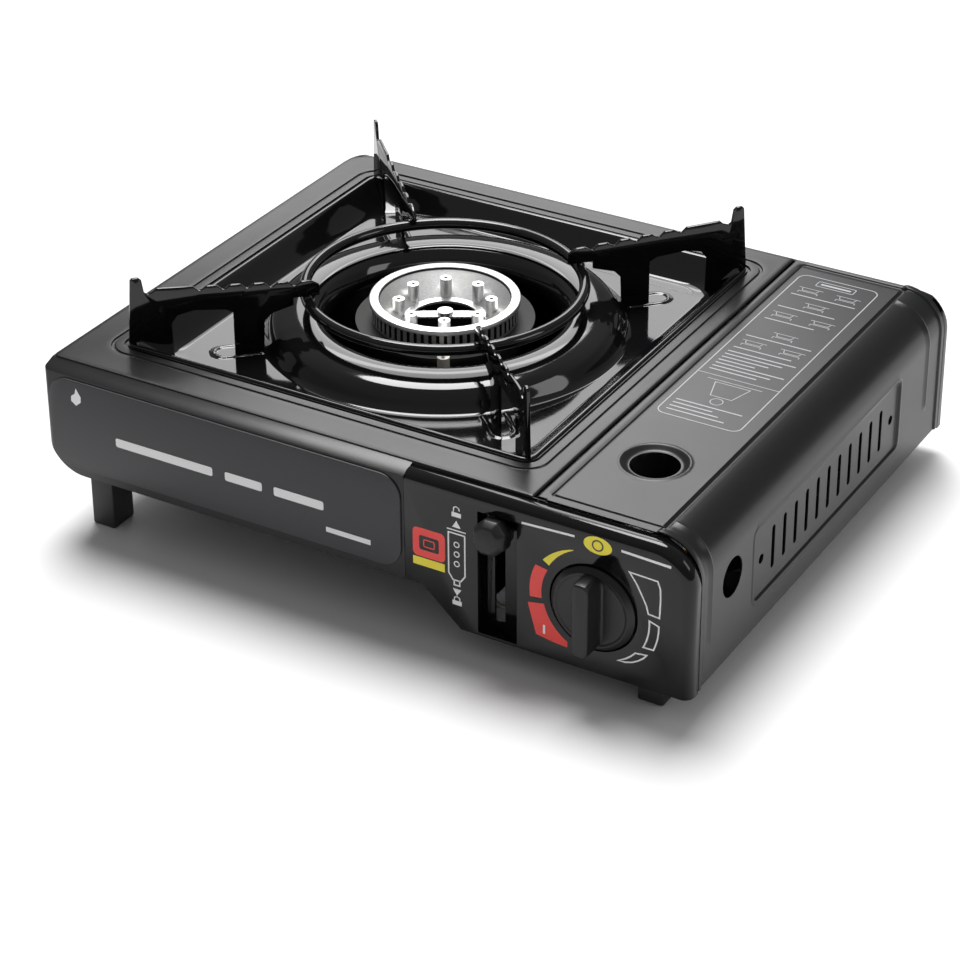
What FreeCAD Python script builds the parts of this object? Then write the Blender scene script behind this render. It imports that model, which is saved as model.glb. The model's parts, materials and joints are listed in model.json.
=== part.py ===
"""Single-burner camping stove fed by a gas cartridge, built as separate named pieces.

Frame: +X to the right, +Y to the rear, +Z up, millimetres. The origin lies on the table under the
middle of the whole stove. The front with the controls faces -Y, the cartridge bay is on the right.
"""
import FreeCAD, Part
import math
import os
import Sketcher
from FreeCAD import Rotation, Vector

DRIVING_SIZES = [
    ("width", 343.0, "overall width"),
    ("body_depth", 279.0, "front face to rear face"),
    ("knob_reach", 13.0, "knob grip in front of the front face"),
    ("deck_height", 88.0, "table to the upper side of the cooktop"),
    ("sheet_steel", 0.8, "wall of the pressed steel pieces"),
    ("shoulder", 8.0, "front face to the front edge of the cooktop"),
    ("shoulder_drop", 3.0, "fall of the shoulder from the cooktop to the faces"),
    ("rear_shoulder", 4.0, "rear face to the rear edge of the cooktop"),
    ("cook_width", 261.0, "left wall to the seam between cooktop and lid"),
    ("seam_gap", 1.0, "clearance at the seam"),
    ("left_clearance", 31.0, "table to the underside of the burner side"),
    ("bay_clearance", 13.0, "table to the underside of the cartridge bay"),
    ("pan_radius", 20.0, "lower left corner of the housing"),
    ("front_radius", 3.0, "upright front left corner"),
    ("rear_radius", 13.0, "upright rear left corner"),
    ("panel_left", 199.5, "left wall to the control panel"),
    ("panel_heel", 9.0, "flat length under the panel before it dips"),
    ("panel_dip", 20.0, "length of the dip"),
    ("panel_edge", 5.0, "rounding of the panel's front edge"),
    ("panel_wall", 1.5, "wall of the control panel"),
    ("panel_drop", 1.5, "cooktop to the top of the panel"),
    ("lid_radius", 20.0, "rounding between the lid's top and side"),
    ("lid_gap", 0.5, "running gap around the lid"),
    ("lid_bottom", 14.0, "table to the lower edge of the lid's side"),
    ("bay_lip", 13.0, "upstand inside the lid's side"),
    ("hoop_height", 0.8, "raised hoop at each end of the lid"),
    ("hoop_width", 3.5, "length of each hoop along the lid"),
    ("hinge_wire", 1.0, "radius of the lid's hinge wire"),
    ("hinge_drop", 2.2, "cooktop to the hinge wire's axis"),
    ("hinge_play", 0.05, "radial running clearance of hinges and stems"),
    ("finger_hole", 11.5, "radius of the finger hole"),
    ("finger_across", 293.1, "left wall to the finger hole"),
    ("finger_back", 52.4, "front edge of the lid to the finger hole"),
    ("side_hole", 9.6, "radius of the peep hole in the lid's side"),
    ("side_hole_back", 32.3, "front edge of the lid to the peep hole"),
    ("side_hole_drop", 33.2, "cooktop to the peep hole"),
    ("vent_first", 76.0, "front edge of the lid to the first vent slot"),
    ("vent_pitch", 11.9, "distance between vent slots"),
    ("vent_count", 11.0, "number of vent slots"),
    ("vent_width", 2.4, "width of a vent slot"),
    ("vent_height", 22.0, "height of a vent slot"),
    ("vent_drop", 41.5, "cooktop to the middle of the slots"),
    ("rivet_hole", 2.5, "radius of the two holes beside the vents"),
    ("rivet_margin", 12.3, "end slot to the hole beside it"),
    ("burner_across", 134.9, "left wall to the burner's axis"),
    ("burner_back", 135.3, "front edge of the cooktop to the burner's axis"),
    ("tray_side", 222.0, "side of the square drip tray"),
    ("tray_rim", 3.0, "width of the tray's flat rim"),
    ("tray_depth", 11.5, "cooktop to the underside of the tray's floor"),
    ("tray_slope", 10.0, "plan width of the tray's sloping sides"),
    ("tray_corner", 6.0, "corner radius of the tray"),
    ("tray_steel", 0.8, "wall of the drip tray"),
    ("swell_outer", 88.0, "radius of the foot of the tray's round swell"),
    ("swell_inner", 57.0, "radius of the tray's burner opening"),
    ("ring_radius", 68.0, "centre radius of the wire ring"),
    ("ring_wire", 2.8, "radius of the ring's wire"),
    ("ring_lift", 11.6, "cooktop to the middle of the wire"),
    ("arm_steel", 1.6, "thickness of a pan support arm"),
    ("arm_height", 27.0, "cooktop to the arms' top edge"),
    ("arm_tip", 34.7, "cooktop to the arms' raised tips"),
    ("arm_outer", 154.0, "burner axis to an arm's outer edge"),
    ("arm_inner", 62.0, "burner axis to an arm's inner end"),
    ("crown_radius", 36.9, "outer radius of the burner crown"),
    ("crown_bore", 32.0, "inner radius of the burner crown"),
    ("crown_top", 5.0, "cooktop to the top of the crown"),
    ("crown_height", 11.0, "height of the crown"),
    ("flame_slots", 60.0, "number of flame slots"),
    ("flame_slot_width", 1.4, "width of a flame slot"),
    ("flame_slot_height", 5.5, "height of a flame slot"),
    ("post_circle", 22.6, "radius of the circle of posts"),
    ("post_radius", 2.9, "radius of a post"),
    ("post_count", 8.0, "number of posts"),
    ("bowl_bore", 16.0, "radius of the hole in the burner's bowl"),
    ("tube_radius", 11.0, "outer radius of the mixing tube"),
    ("tube_wall", 1.5, "wall of the mixing tube"),
    ("tube_height", 46.0, "table to the mixing tube's axis"),
    ("pipe_radius", 2.5, "outer radius of the gas pipe"),
    ("pipe_bend", 8.0, "bend radius of the gas pipe"),
    ("lead_radius", 1.1, "radius of the ignition lead"),
    ("knob_across", 295.3, "left wall to the knob's axis"),
    ("knob_height", 46.2, "table to the knob's axis"),
    ("knob_radius", 20.6, "radius of the knob's disc"),
    ("knob_gap", 1.0, "gap between the knob's disc and the panel"),
    ("grip_width", 8.6, "thickness of the knob's grip"),
    ("grip_length", 37.0, "length of the knob's grip"),
    ("stem_radius", 3.0, "radius of the valve stem"),
    ("channel_across", 247.3, "left wall to the middle of the lever channel"),
    ("channel_width", 19.8, "width of the lever channel"),
    ("channel_foot", 14.6, "table to the bottom of the channel"),
    ("channel_head", 77.4, "table to the top of the channel"),
    ("channel_depth", 8.8, "front face to the channel's floor"),
    ("slot_across", 243.7, "left wall to the lever slot"),
    ("slot_width", 5.2, "width of the lever slot"),
    ("lever_across", 244.7, "left wall to the lever arm"),
    ("lever_rise", 19.0, "lever's pivot to the lever knob in the open position"),
    ("lever_knob_across", 246.6, "left wall to the lever knob"),
    ("lever_knob_radius", 8.4, "radius of the lever knob"),
    ("lever_pivot_back", 109.5, "front edge of the cooktop to the lever's pivot"),
    ("lever_pivot_height", 48.0, "table to the lever's pivot"),
    ("lever_steel", 1.5, "thickness of lever, rod and brackets"),
    ("lever_pin", 3.0, "radius of the lever's pivot pin"),
    ("cartridge_radius", 33.5, "radius of a standard cartridge"),
    ("cartridge_length", 186.0, "length of a standard cartridge with its collar"),
    ("cartridge_play", 0.8, "gap between cartridge and cradles"),
    ("foot_wide", 13.0, "width of a foot"),
    ("foot_deep", 16.0, "depth of a foot"),
    ("foot_inset", 16.7, "left wall to the left feet"),
    ("label_thick", 1.2, "thickness of the label plate"),
]

doc = FreeCAD.newDocument("camping_stove")
sheet = doc.addObject("Spreadsheet::Sheet", "Sizes")
for row, (alias, number, meaning) in enumerate(DRIVING_SIZES, start=1):
    sheet.set("A%d" % row, meaning)
    sheet.set("B%d" % row, str(number))
    sheet.setAlias("B%d" % row, alias)
doc.recompute()


class Size:
    """A size held twice: as a number, and as the expression that ties it to the sheet."""

    def __init__(self, text, number):
        self.text = text
        self.number = float(number)

    def __add__(self, other):
        return joined(self, "+", other, self.number + size(other).number)

    def __sub__(self, other):
        return joined(self, "-", other, self.number - size(other).number)

    def __mul__(self, other):
        return joined(self, "*", other, self.number * size(other).number)

    def __truediv__(self, other):
        return joined(self, "/", other, self.number / size(other).number)

    def __radd__(self, other):
        return size(other) + self

    def __rsub__(self, other):
        return size(other) - self

    def __rmul__(self, other):
        return size(other) * self

    def __neg__(self):
        return size(0) - self


def size(value):
    """Makes a Size of a bare number, and leaves a Size as it is."""
    if isinstance(value, Size):
        return value
    return Size("(%r)" % float(value), value)


def joined(one, sign, other, number):
    """The Size of an arithmetic step."""
    return Size("(%s %s %s)" % (one.text, sign, size(other).text), number)


def sized(alias):
    """The Size of one cell of the sheet."""
    return Size("Sizes.%s" % alias, getattr(sheet, alias))


def bind(item, path, value):
    """Drives one property of an object from the sheet."""
    item.setExpression(path, size(value).text)


# ---- places that several pieces share -----------------------------------------------------------
STEEL = sized("sheet_steel")
LEFT = -sized("width") / 2
RIGHT = sized("width") / 2
FRONT = sized("knob_reach") - (sized("body_depth") + sized("knob_reach")) / 2
REAR = FRONT + sized("body_depth")
DECK = sized("deck_height")
UNDER_DECK = DECK - STEEL
EDGE_FRONT = FRONT + sized("shoulder")
EDGE_REAR = REAR - sized("rear_shoulder")
SEAM = LEFT + sized("cook_width")
PANEL_LEFT = LEFT + sized("panel_left")
DIP_START = PANEL_LEFT + sized("panel_heel")
DIP_END = DIP_START + sized("panel_dip")
LEFT_UNDER = sized("left_clearance")
BAY_UNDER = sized("bay_clearance")
LEFT_FLOOR = LEFT_UNDER + STEEL
BAY_FLOOR = BAY_UNDER + STEEL
LID_SIDE = RIGHT - sized("hoop_height")
LIP_OUTER = LID_SIDE - STEEL - sized("lid_gap")
LIP_INNER = LIP_OUTER - STEEL
HINGE_X = SEAM + sized("hinge_drop") + 0.2
HINGE_Z = DECK - sized("hinge_drop")
BURNER_X = LEFT + sized("burner_across")
BURNER_Y = EDGE_FRONT + sized("burner_back")
KNOB_X = LEFT + sized("knob_across")
KNOB_Z = sized("knob_height")
CHANNEL_X = LEFT + sized("channel_across")
CHANNEL_FLOOR = FRONT + sized("channel_depth")
SLOT_X = LEFT + sized("slot_across")
LEVER_X = LEFT + sized("lever_across")
LEVER_STEEL = sized("lever_steel")
PIVOT_Y = EDGE_FRONT + sized("lever_pivot_back")
PIVOT_Z = sized("lever_pivot_height")
CRADLE_TOP = BAY_FLOOR + 3.2
CARTRIDGE_X = (SEAM + LIP_INNER) / 2
CARTRIDGE_Z = CRADLE_TOP + sized("cartridge_radius") + sized("cartridge_play")
TUBE_Z = sized("tube_height")
TUBE_MOUTH = LEFT + 231.5
PARTITION_X = SEAM - 4.0
REGULATOR_FRONT = EDGE_FRONT + 13.5
REGULATOR_REAR = REGULATOR_FRONT + 26.0
REGULATOR_HALF = 18.0
REGULATOR_TOP = KNOB_Z + 22.0
INLET_RADIUS = 13.0
INLET_REAR = REGULATOR_REAR + 6.0
PIPE_ENTRY_Y = REGULATOR_FRONT + 13.0
PIPE_X = SEAM - 10.5
CAM_REAR = REGULATOR_FRONT - 2.0
CAM_THICK = 3.5
CAM_LOW = 13.5
CAM_LIFT = 4.0
CAM_SWEEP = 150.0
PLUNGER_GAP = 0.4
PLUNGER_RADIUS = 2.0
IGNITER_X = KNOB_X + 21.3
IGNITER_Y = CAM_REAR - CAM_THICK / 2
BASE_BOTTOM = DECK - 30.0
POST_START = math.radians(30)
BASE_TOP = DECK + sized("crown_top") - sized("crown_height")
ELECTRODE_X = BURNER_X + 24.5
ELECTRODE_Y = BURNER_Y - 42.4
ROD_X = LEVER_X + 1.2
ROD_LOW = PIVOT_Z + 12.0
ROD_HIGH = PIVOT_Z + 22.0
PUSHER_Y = INLET_REAR + sized("cartridge_length") + 8.0

pieces = []


def keep(item, name):
    """Names an object as a finished piece."""
    item.Label = name
    pieces.append(item)
    return item


# ---- ways to make a solid -----------------------------------------------------------------------
AXIS_TURNS = {
    "X": Rotation(Vector(0, 1, 0), 90),
    "Y": Rotation(Vector(1, 0, 0), -90),
    "Z": Rotation(),
}


def place(item, x, y, z):
    """Sets an object down at a place that the sheet drives."""
    bind(item, "Placement.Base.x", x)
    bind(item, "Placement.Base.y", y)
    bind(item, "Placement.Base.z", z)


def box(name, x, y, z):
    """A block between low and high values along each axis."""
    item = doc.addObject("Part::Box", name)
    for side, span in zip(("Length", "Width", "Height"), (x, y, z)):
        bind(item, side, size(span[1]) - span[0])
    place(item, x[0], y[0], z[0])
    return item


def rod(name, axis, centre, radius, span):
    """A cylinder along X, Y or Z; centre holds the other two coordinates in X, Y, Z order."""
    item = doc.addObject("Part::Cylinder", name)
    item.Placement.Rotation = AXIS_TURNS[axis]
    bind(item, "Radius", radius)
    bind(item, "Height", size(span[1]) - span[0])
    spot = list(centre)
    spot.insert("XYZ".index(axis), span[0])
    place(item, *spot)
    return item


def cut(name, base, *tools):
    """The base with every tool taken out of it."""
    for number, tool in enumerate(tools):
        item = doc.addObject("Part::Cut", "%s_cut%d" % (name, number))
        item.Base = base
        item.Tool = tool
        base = item
    return base


def fuse(name, *items):
    """Several solids as one."""
    item = doc.addObject("Part::MultiFuse", name + "_fuse")
    item.Shapes = list(items)
    return item


def new_body(name):
    """An empty design body."""
    return doc.addObject("PartDesign::Body", name)


def sketch(body, plane, lift=0):
    """A sketch on one of the body's own planes, lifted along the plane's normal."""
    item = body.newObject("Sketcher::SketchObject", body.Name + "_sketch")
    support = [part for part in body.Origin.OriginFeatures if part.Role == plane][0]
    item.AttachmentSupport = [(support, "")]
    item.MapMode = "FlatFace"
    bind(item, "AttachmentOffset.Base.z", lift)
    return item


def pin_point(item, piece, end, across, up):
    """Ties a point of the sketch to driven coordinates."""
    for kind, value in (("DistanceX", across), ("DistanceY", up)):
        rule = Sketcher.Constraint(kind, -1, 1, piece, end, size(value).number)
        number = item.addConstraint(rule)
        item.setExpression("Constraints[%d]" % number, size(value).text)


def heading(start, end):
    """The direction of a side of an outline as -1, 0 or 1 along each axis."""
    run = [size(b).number - size(a).number for a, b in zip(start, end)]
    return [0 if abs(step) < 1e-6 else int(math.copysign(1, step)) for step in run]


def outline(item, corners):
    """A closed outline. A corner is (across, up), or (across, up, radius) between square sides."""
    stops = []
    for number, corner in enumerate(corners):
        before = heading(corners[number - 1][:2], corner[:2])
        after = heading(corner[:2], corners[(number + 1) % len(corners)][:2])
        if len(corner) == 2:
            stops.append((corner, corner, None, None))
            continue
        across, up, radius = corner
        first = (across - radius * before[0], up - radius * before[1])
        last = (across + radius * after[0], up + radius * after[1])
        turn = before[0] * after[1] - before[1] * after[0]
        middle = (first[0] + radius * after[0], first[1] + radius * after[1])
        stops.append((first, last, radius, (middle, before, after, turn)))
    for number, (_, leave, _, _) in enumerate(stops):
        arrive = stops[(number + 1) % len(stops)][0]
        ends = [Vector(size(p[0]).number, size(p[1]).number, 0) for p in (leave, arrive)]
        side = item.addGeometry(Part.LineSegment(*ends), False)
        pin_point(item, side, 1, *leave)
        pin_point(item, side, 2, *arrive)
    for number, (first, last, radius, bend) in enumerate(stops):
        if radius is None:
            continue
        middle, before, after, turn = bend
        centre = Vector(size(middle[0]).number, size(middle[1]).number, 0)
        opening = math.atan2(-after[1], -after[0])
        closing = math.atan2(before[1], before[0])
        angles = (opening, closing) if turn > 0 else (closing, opening)
        circle = Part.Circle(centre, Vector(0, 0, 1), size(radius).number)
        arc = item.addGeometry(Part.ArcOfCircle(circle, *angles), False)
        starts, ends = (1, 2) if turn > 0 else (2, 1)
        item.addConstraint(Sketcher.Constraint("Coincident", arc, starts, number - 1, 2)
                           if number else
                           Sketcher.Constraint("Coincident", arc, starts, len(stops) - 1, 2))
        item.addConstraint(Sketcher.Constraint("Coincident", arc, ends, number, 1))
        rule = item.addConstraint(Sketcher.Constraint("Radius", arc, size(radius).number))
        item.setExpression("Constraints[%d]" % rule, size(radius).text)
    return item


def circle(item, across, up, radius):
    """A driven circle in a sketch."""
    centre = Vector(size(across).number, size(up).number, 0)
    ring = item.addGeometry(Part.Circle(centre, Vector(0, 0, 1), size(radius).number), False)
    pin_point(item, ring, 3, across, up)
    rule = item.addConstraint(Sketcher.Constraint("Radius", ring, size(radius).number))
    item.setExpression("Constraints[%d]" % rule, size(radius).text)
    return item


def rectangle(item, across, up, radius=None):
    """A rectangle between low and high values, with rounded corners where a radius is given."""
    corners = [(across[0], up[0]), (across[1], up[0]), (across[1], up[1]), (across[0], up[1])]
    if radius is not None:
        corners = [(size(a), size(b), size(radius)) for a, b in corners]
    return outline(item, corners)


def pad(body, item, length, back=False):
    """Raises a sketch along its normal, or the other way."""
    feature = body.newObject("PartDesign::Pad", body.Name + "_pad")
    feature.Profile = item
    feature.Reversed = back
    bind(feature, "Length", length)
    return feature


def pocket(body, item, length, back=False):
    """Cuts a sketch into the solid, against its normal, or along it; the solid must get smaller."""
    doc.recompute()
    before = body.Shape.Volume
    feature = body.newObject("PartDesign::Pocket", body.Name + "_pocket")
    feature.Profile = item
    feature.Reversed = back
    bind(feature, "Length", length)
    doc.recompute()
    assert body.Shape.Volume < before - 0.01, "a pocket of %s cuts nothing" % body.Name
    return feature


def revolve(body, item):
    """Turns a sketch on the XZ plane about the upright axis."""
    feature = body.newObject("PartDesign::Revolution", body.Name + "_turned")
    feature.Profile = item
    feature.ReferenceAxis = (item, ["V_Axis"])
    feature.Angle = 360
    return feature


def round_edges(body, names, radius):
    """Rounds edges of the last feature."""
    last = body.Tip
    feature = body.newObject("PartDesign::Fillet", body.Name + "_round")
    feature.Base = (last, names)
    bind(feature, "Radius", radius)
    doc.recompute()
    return feature


def bent_tube(name, points, radius, bend):
    """A round bar along straight runs that turn square corners on arcs, at driven points."""
    spots = [Vector(*[size(value).number for value in point]) for point in points]
    reach = size(bend).number
    edges = []
    start = spots[0]
    for before, corner, after in zip(spots, spots[1:], spots[2:]):
        came = (corner - before).normalize()
        goes = (after - corner).normalize()
        first = corner - came * reach
        last = corner + goes * reach
        middle = corner + (goes - came) * (reach * (1 - math.sqrt(0.5)))
        edges.append(Part.LineSegment(start, first).toShape())
        edges.append(Part.Arc(first, middle, last).toShape())
        start = last
    edges.append(Part.LineSegment(start, spots[-1]).toShape())
    path = Part.Wire(edges)
    end = Part.Wire([Part.makeCircle(size(radius).number, spots[0], spots[1] - spots[0])])
    shape = path.makePipeShell([end], True, False)
    expected = math.pi * size(radius).number ** 2 * path.Length
    assert abs(shape.Volume / expected - 1) < 0.02, "%s is not a full tube" % name
    item = doc.addObject("Part::Feature", name)
    item.Shape = shape
    return item


# ---- housing ------------------------------------------------------------------------------------
def trimmed(name, block, inset):
    """The block with its left corners rounded, seen from the front and from above."""
    front_view = new_body(name + "_front_view")
    pan = sized("pan_radius") - inset
    pad(front_view, outline(sketch(front_view, "XZ_Plane", -(REAR + 1)), [
        (LEFT + inset, LEFT_UNDER + inset, pan), (DIP_START, LEFT_UNDER + inset),
        (DIP_START, BAY_UNDER - 1), (RIGHT + 1, BAY_UNDER - 1), (RIGHT + 1, DECK + 40),
        (LEFT + inset, DECK + 40)]), sized("body_depth") + 2)
    plan = new_body(name + "_plan")
    pad(plan, outline(sketch(plan, "XY_Plane"), [
        (LEFT + inset, FRONT + inset, sized("front_radius") - inset), (RIGHT + 1, FRONT + inset),
        (RIGHT + 1, REAR - inset), (LEFT + inset, REAR - inset, sized("rear_radius") - inset)]),
        DECK + 40)
    common = doc.addObject("Part::MultiCommon", name + "_trimmed")
    common.Shapes = [block, front_view, plan]
    return common


def body_shell():
    """Pressed steel housing: floor, walls, front and rear shoulders and the bay's lip."""
    block = new_body("housing_block")
    pad(block, outline(sketch(block, "XZ_Plane", -EDGE_FRONT), [
        (LEFT, LEFT_UNDER), (DIP_START, LEFT_UNDER), (DIP_END, BAY_UNDER), (RIGHT, BAY_UNDER),
        (RIGHT, UNDER_DECK, sized("lid_radius")), (LEFT, UNDER_DECK)]), REAR - EDGE_FRONT, back=True)
    nose = rectangle(sketch(block, "XZ_Plane", -EDGE_FRONT), (LEFT, PANEL_LEFT),
                     (LEFT_UNDER, UNDER_DECK))
    pad(block, nose, sized("shoulder"))
    side_view = new_body("housing_side_view")
    slope = sized("rear_shoulder") - STEEL
    pad(side_view, outline(sketch(side_view, "YZ_Plane", LEFT - 1), [
        (FRONT, 0), (REAR, 0), (REAR, UNDER_DECK - slope), (REAR - slope, UNDER_DECK),
        (EDGE_FRONT, UNDER_DECK), (FRONT, UNDER_DECK - sized("shoulder_drop"))]),
        sized("width") + 2)
    skin = doc.addObject("Part::Common", "housing_sloped")
    skin.Base = trimmed("housing", block, size(0))
    skin.Tool = side_view

    room = new_body("housing_room")
    ceiling = UNDER_DECK - sized("rear_shoulder")
    pad(room, outline(sketch(room, "XZ_Plane", -(EDGE_FRONT + STEEL)), [
        (LEFT + STEEL, LEFT_FLOOR), (DIP_START, LEFT_FLOOR), (DIP_END, BAY_FLOOR),
        (LIP_INNER, BAY_FLOOR), (LIP_INNER, ceiling), (LEFT + STEEL, ceiling)]),
        REAR - EDGE_FRONT - STEEL * 2, back=True)
    pad(room, rectangle(sketch(room, "XY_Plane", ceiling - 1), (LEFT + STEEL, LIP_INNER),
                        (EDGE_FRONT + STEEL, EDGE_REAR - STEEL)), 30)
    pad(room, outline(sketch(room, "YZ_Plane", LEFT + STEEL), [
        (FRONT + STEEL, LEFT_FLOOR), (EDGE_FRONT + STEEL * 2, LEFT_FLOOR),
        (EDGE_FRONT + STEEL * 2, UNDER_DECK - STEEL * 2),
        (FRONT + STEEL, UNDER_DECK - sized("shoulder_drop") - STEEL)]),
        PANEL_LEFT - LEFT - STEEL * 2)
    core = trimmed("housing_room", room, STEEL)

    lid_way = new_body("lid_way")
    gap = sized("lid_gap")
    pad(lid_way, outline(sketch(lid_way, "XZ_Plane", -(EDGE_FRONT - 1)), [
        (SEAM + 6, UNDER_DECK - gap), (LIP_OUTER, UNDER_DECK - gap, sized("lid_radius") - STEEL - gap),
        (LIP_OUTER, BAY_UNDER - 1), (RIGHT + 5, BAY_UNDER - 1), (RIGHT + 5, DECK + 5),
        (SEAM + 6, DECK + 5)]), EDGE_REAR - EDGE_FRONT + 1, back=True)
    lip_cut = box("lip_cut", (LIP_INNER - 1, RIGHT + 5), (EDGE_FRONT + STEEL, EDGE_REAR - STEEL),
                  (BAY_FLOOR + sized("bay_lip"), DECK + 5))
    wire_hole = rod("wire_hole", "Y", (HINGE_X, HINGE_Z), sized("hinge_wire"),
                    (EDGE_FRONT - 1, EDGE_REAR + 2))
    stem_hole = rod("stem_hole", "Y", (KNOB_X, KNOB_Z), sized("stem_radius") + 2,
                    (EDGE_FRONT - 1, EDGE_FRONT + STEEL + 1))
    half = sized("channel_width") / 2 + sized("panel_wall") + 0.5
    lever_window = box("lever_window", (CHANNEL_X - half, CHANNEL_X + half),
                       (EDGE_FRONT - 1, EDGE_FRONT + STEEL + 1),
                       (BAY_FLOOR, sized("channel_head") + 2))
    shell = cut("body_shell", skin, core, lid_way, lip_cut, wire_hole, stem_hole, lever_window)
    return keep(shell, "body_shell")


def top_plate():
    """Cooktop sheet with the square opening that the drip tray hangs in."""
    body = new_body("top_plate")
    edge = sized("rear_radius")
    sheet_outline = outline(sketch(body, "XY_Plane", UNDER_DECK), [
        (LEFT, EDGE_FRONT, sized("front_radius")), (SEAM - sized("seam_gap"), EDGE_FRONT),
        (SEAM - sized("seam_gap"), EDGE_REAR), (LEFT, EDGE_REAR, edge)])
    pad(body, sheet_outline, STEEL)
    half = sized("tray_side") / 2 - sized("tray_rim")
    opening = rectangle(sketch(body, "XY_Plane", DECK), (BURNER_X - half, BURNER_X + half),
                        (BURNER_Y - half, BURNER_Y + half), sized("tray_corner"))
    pocket(body, opening, STEEL * 2)
    return keep(body, "top_plate")


def label_plate():
    """Raised dark plate on the front face, left of the controls."""
    body = new_body("label_plate")
    face = rectangle(sketch(body, "XZ_Plane", -FRONT), (LEFT + 3.5, PANEL_LEFT - 1.2),
                     (LEFT_UNDER + 4.5, DECK - sized("shoulder_drop") - 2.0), 11.0)
    pad(body, face, sized("label_thick"))
    return keep(body, "label_plate")


def control_panel():
    """Glossy moulded panel with the lever channel and the round seat of the knob."""
    body = new_body("control_panel")
    wall = sized("panel_wall")
    top = DECK - sized("panel_drop")
    face = outline(sketch(body, "XZ_Plane", -EDGE_FRONT), [
        (PANEL_LEFT, LEFT_UNDER), (DIP_START, LEFT_UNDER), (DIP_END, BAY_UNDER), (RIGHT, BAY_UNDER),
        (RIGHT, top, sized("lid_radius")), (PANEL_LEFT, top)])
    pad(body, face, sized("shoulder"))
    doc.recompute()
    rim = []
    for number, edge in enumerate(body.Shape.Edges, start=1):
        corners = [vertex.Y for vertex in edge.Vertexes]
        on_front = all(abs(y - FRONT.number) < 0.02 for y in corners)
        if on_front and edge.CenterOfMass.z > BAY_UNDER.number + 30:
            if edge.CenterOfMass.x > PANEL_LEFT.number + 0.1:
                rim.append("Edge%d" % number)
    round_edges(body, rim, sized("panel_edge"))
    hollow = outline(sketch(body, "XZ_Plane", -EDGE_FRONT), [
        (PANEL_LEFT + wall, LEFT_UNDER + wall), (DIP_START + wall / 2, LEFT_UNDER + wall),
        (DIP_END + wall / 2, BAY_UNDER + wall), (RIGHT - wall, BAY_UNDER + wall),
        (RIGHT - wall, top - sized("panel_edge"), sized("lid_radius") - sized("panel_edge")),
        (PANEL_LEFT + wall, top - sized("panel_edge"))])
    pocket(body, hollow, sized("shoulder") - wall, back=True)
    half = sized("channel_width") / 2
    foot = sized("channel_foot")
    head = sized("channel_head")
    trough = rectangle(sketch(body, "XZ_Plane", -(CHANNEL_FLOOR + wall)),
                       (CHANNEL_X - half - wall, CHANNEL_X + half + wall),
                       (BAY_FLOOR + 0.3, head + wall))
    pad(body, trough, sized("channel_depth") + wall - 1.0)
    inside = rectangle(sketch(body, "XZ_Plane", -CHANNEL_FLOOR),
                       (CHANNEL_X - half, CHANNEL_X + half), (foot, head))
    pocket(body, inside, sized("channel_depth") + 2, back=True)
    slot = rectangle(sketch(body, "XZ_Plane", -(CHANNEL_FLOOR + wall + 1)),
                     (SLOT_X - sized("slot_width") / 2, SLOT_X + sized("slot_width") / 2),
                     (foot + 2.2, head - 3))
    pocket(body, slot, wall + 2, back=True)
    seat = circle(sketch(body, "XZ_Plane", -EDGE_FRONT), KNOB_X, KNOB_Z,
                  sized("knob_radius") + sized("knob_gap"))
    pocket(body, seat, sized("shoulder") + 2, back=True)
    return keep(body, "control_panel")


def partition():
    """Upright wall between the burner and the cartridge."""
    plate = box("partition_plate", (PARTITION_X, PARTITION_X + STEEL),
                (EDGE_FRONT + 11.5, PUSHER_Y - 21), (BAY_FLOOR, HINGE_Z - 3))
    hole = rod("partition_hole", "X", (PIPE_ENTRY_Y, TUBE_Z), sized("pipe_radius") + 1.5,
               (PARTITION_X - 1, PARTITION_X + STEEL + 1))
    return keep(cut("partition", plate, hole), "partition")


def feet():
    """Four feet: tall ones under the burner side, short ones under the cartridge bay."""
    wide = sized("foot_wide")
    left_x = LEFT + sized("foot_inset")
    right_x = RIGHT - sized("foot_inset") - wide
    front_y = EDGE_FRONT
    rear_y = REAR - sized("rear_radius") - sized("foot_deep")
    for across, x, top in (("left", left_x, LEFT_UNDER), ("right", right_x, BAY_UNDER)):
        for along, y in (("front", front_y), ("rear", rear_y)):
            name = "foot_%s_%s" % (along, across)
            foot = box(name + "_block", (x, x + wide), (y, y + sized("foot_deep")), (0, top))
            keep(foot, name)


# ---- burner -------------------------------------------------------------------------------------
def burner_base():
    """Dark pressed bowl that spreads the gas under the crown."""
    body = new_body("burner_base")
    bore = sized("tube_radius") - sized("tube_wall")
    outer = sized("crown_radius")
    wall = 2.0
    outline(sketch(body, "XZ_Plane"), [
        (bore, BASE_BOTTOM), (bore + 14, BASE_BOTTOM), (outer, BASE_BOTTOM + 10),
        (outer, BASE_TOP - wall), (outer + 7, BASE_TOP - wall), (outer + 7, BASE_TOP),
        (outer - 3, BASE_TOP), (outer - 3, BASE_BOTTOM + 11), (bore + 13, BASE_BOTTOM + wall),
        (bore, BASE_BOTTOM + wall)])
    revolve(body, body.Group[-1])
    place(body, BURNER_X, BURNER_Y, 0)
    return keep(body, "burner_base")


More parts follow.
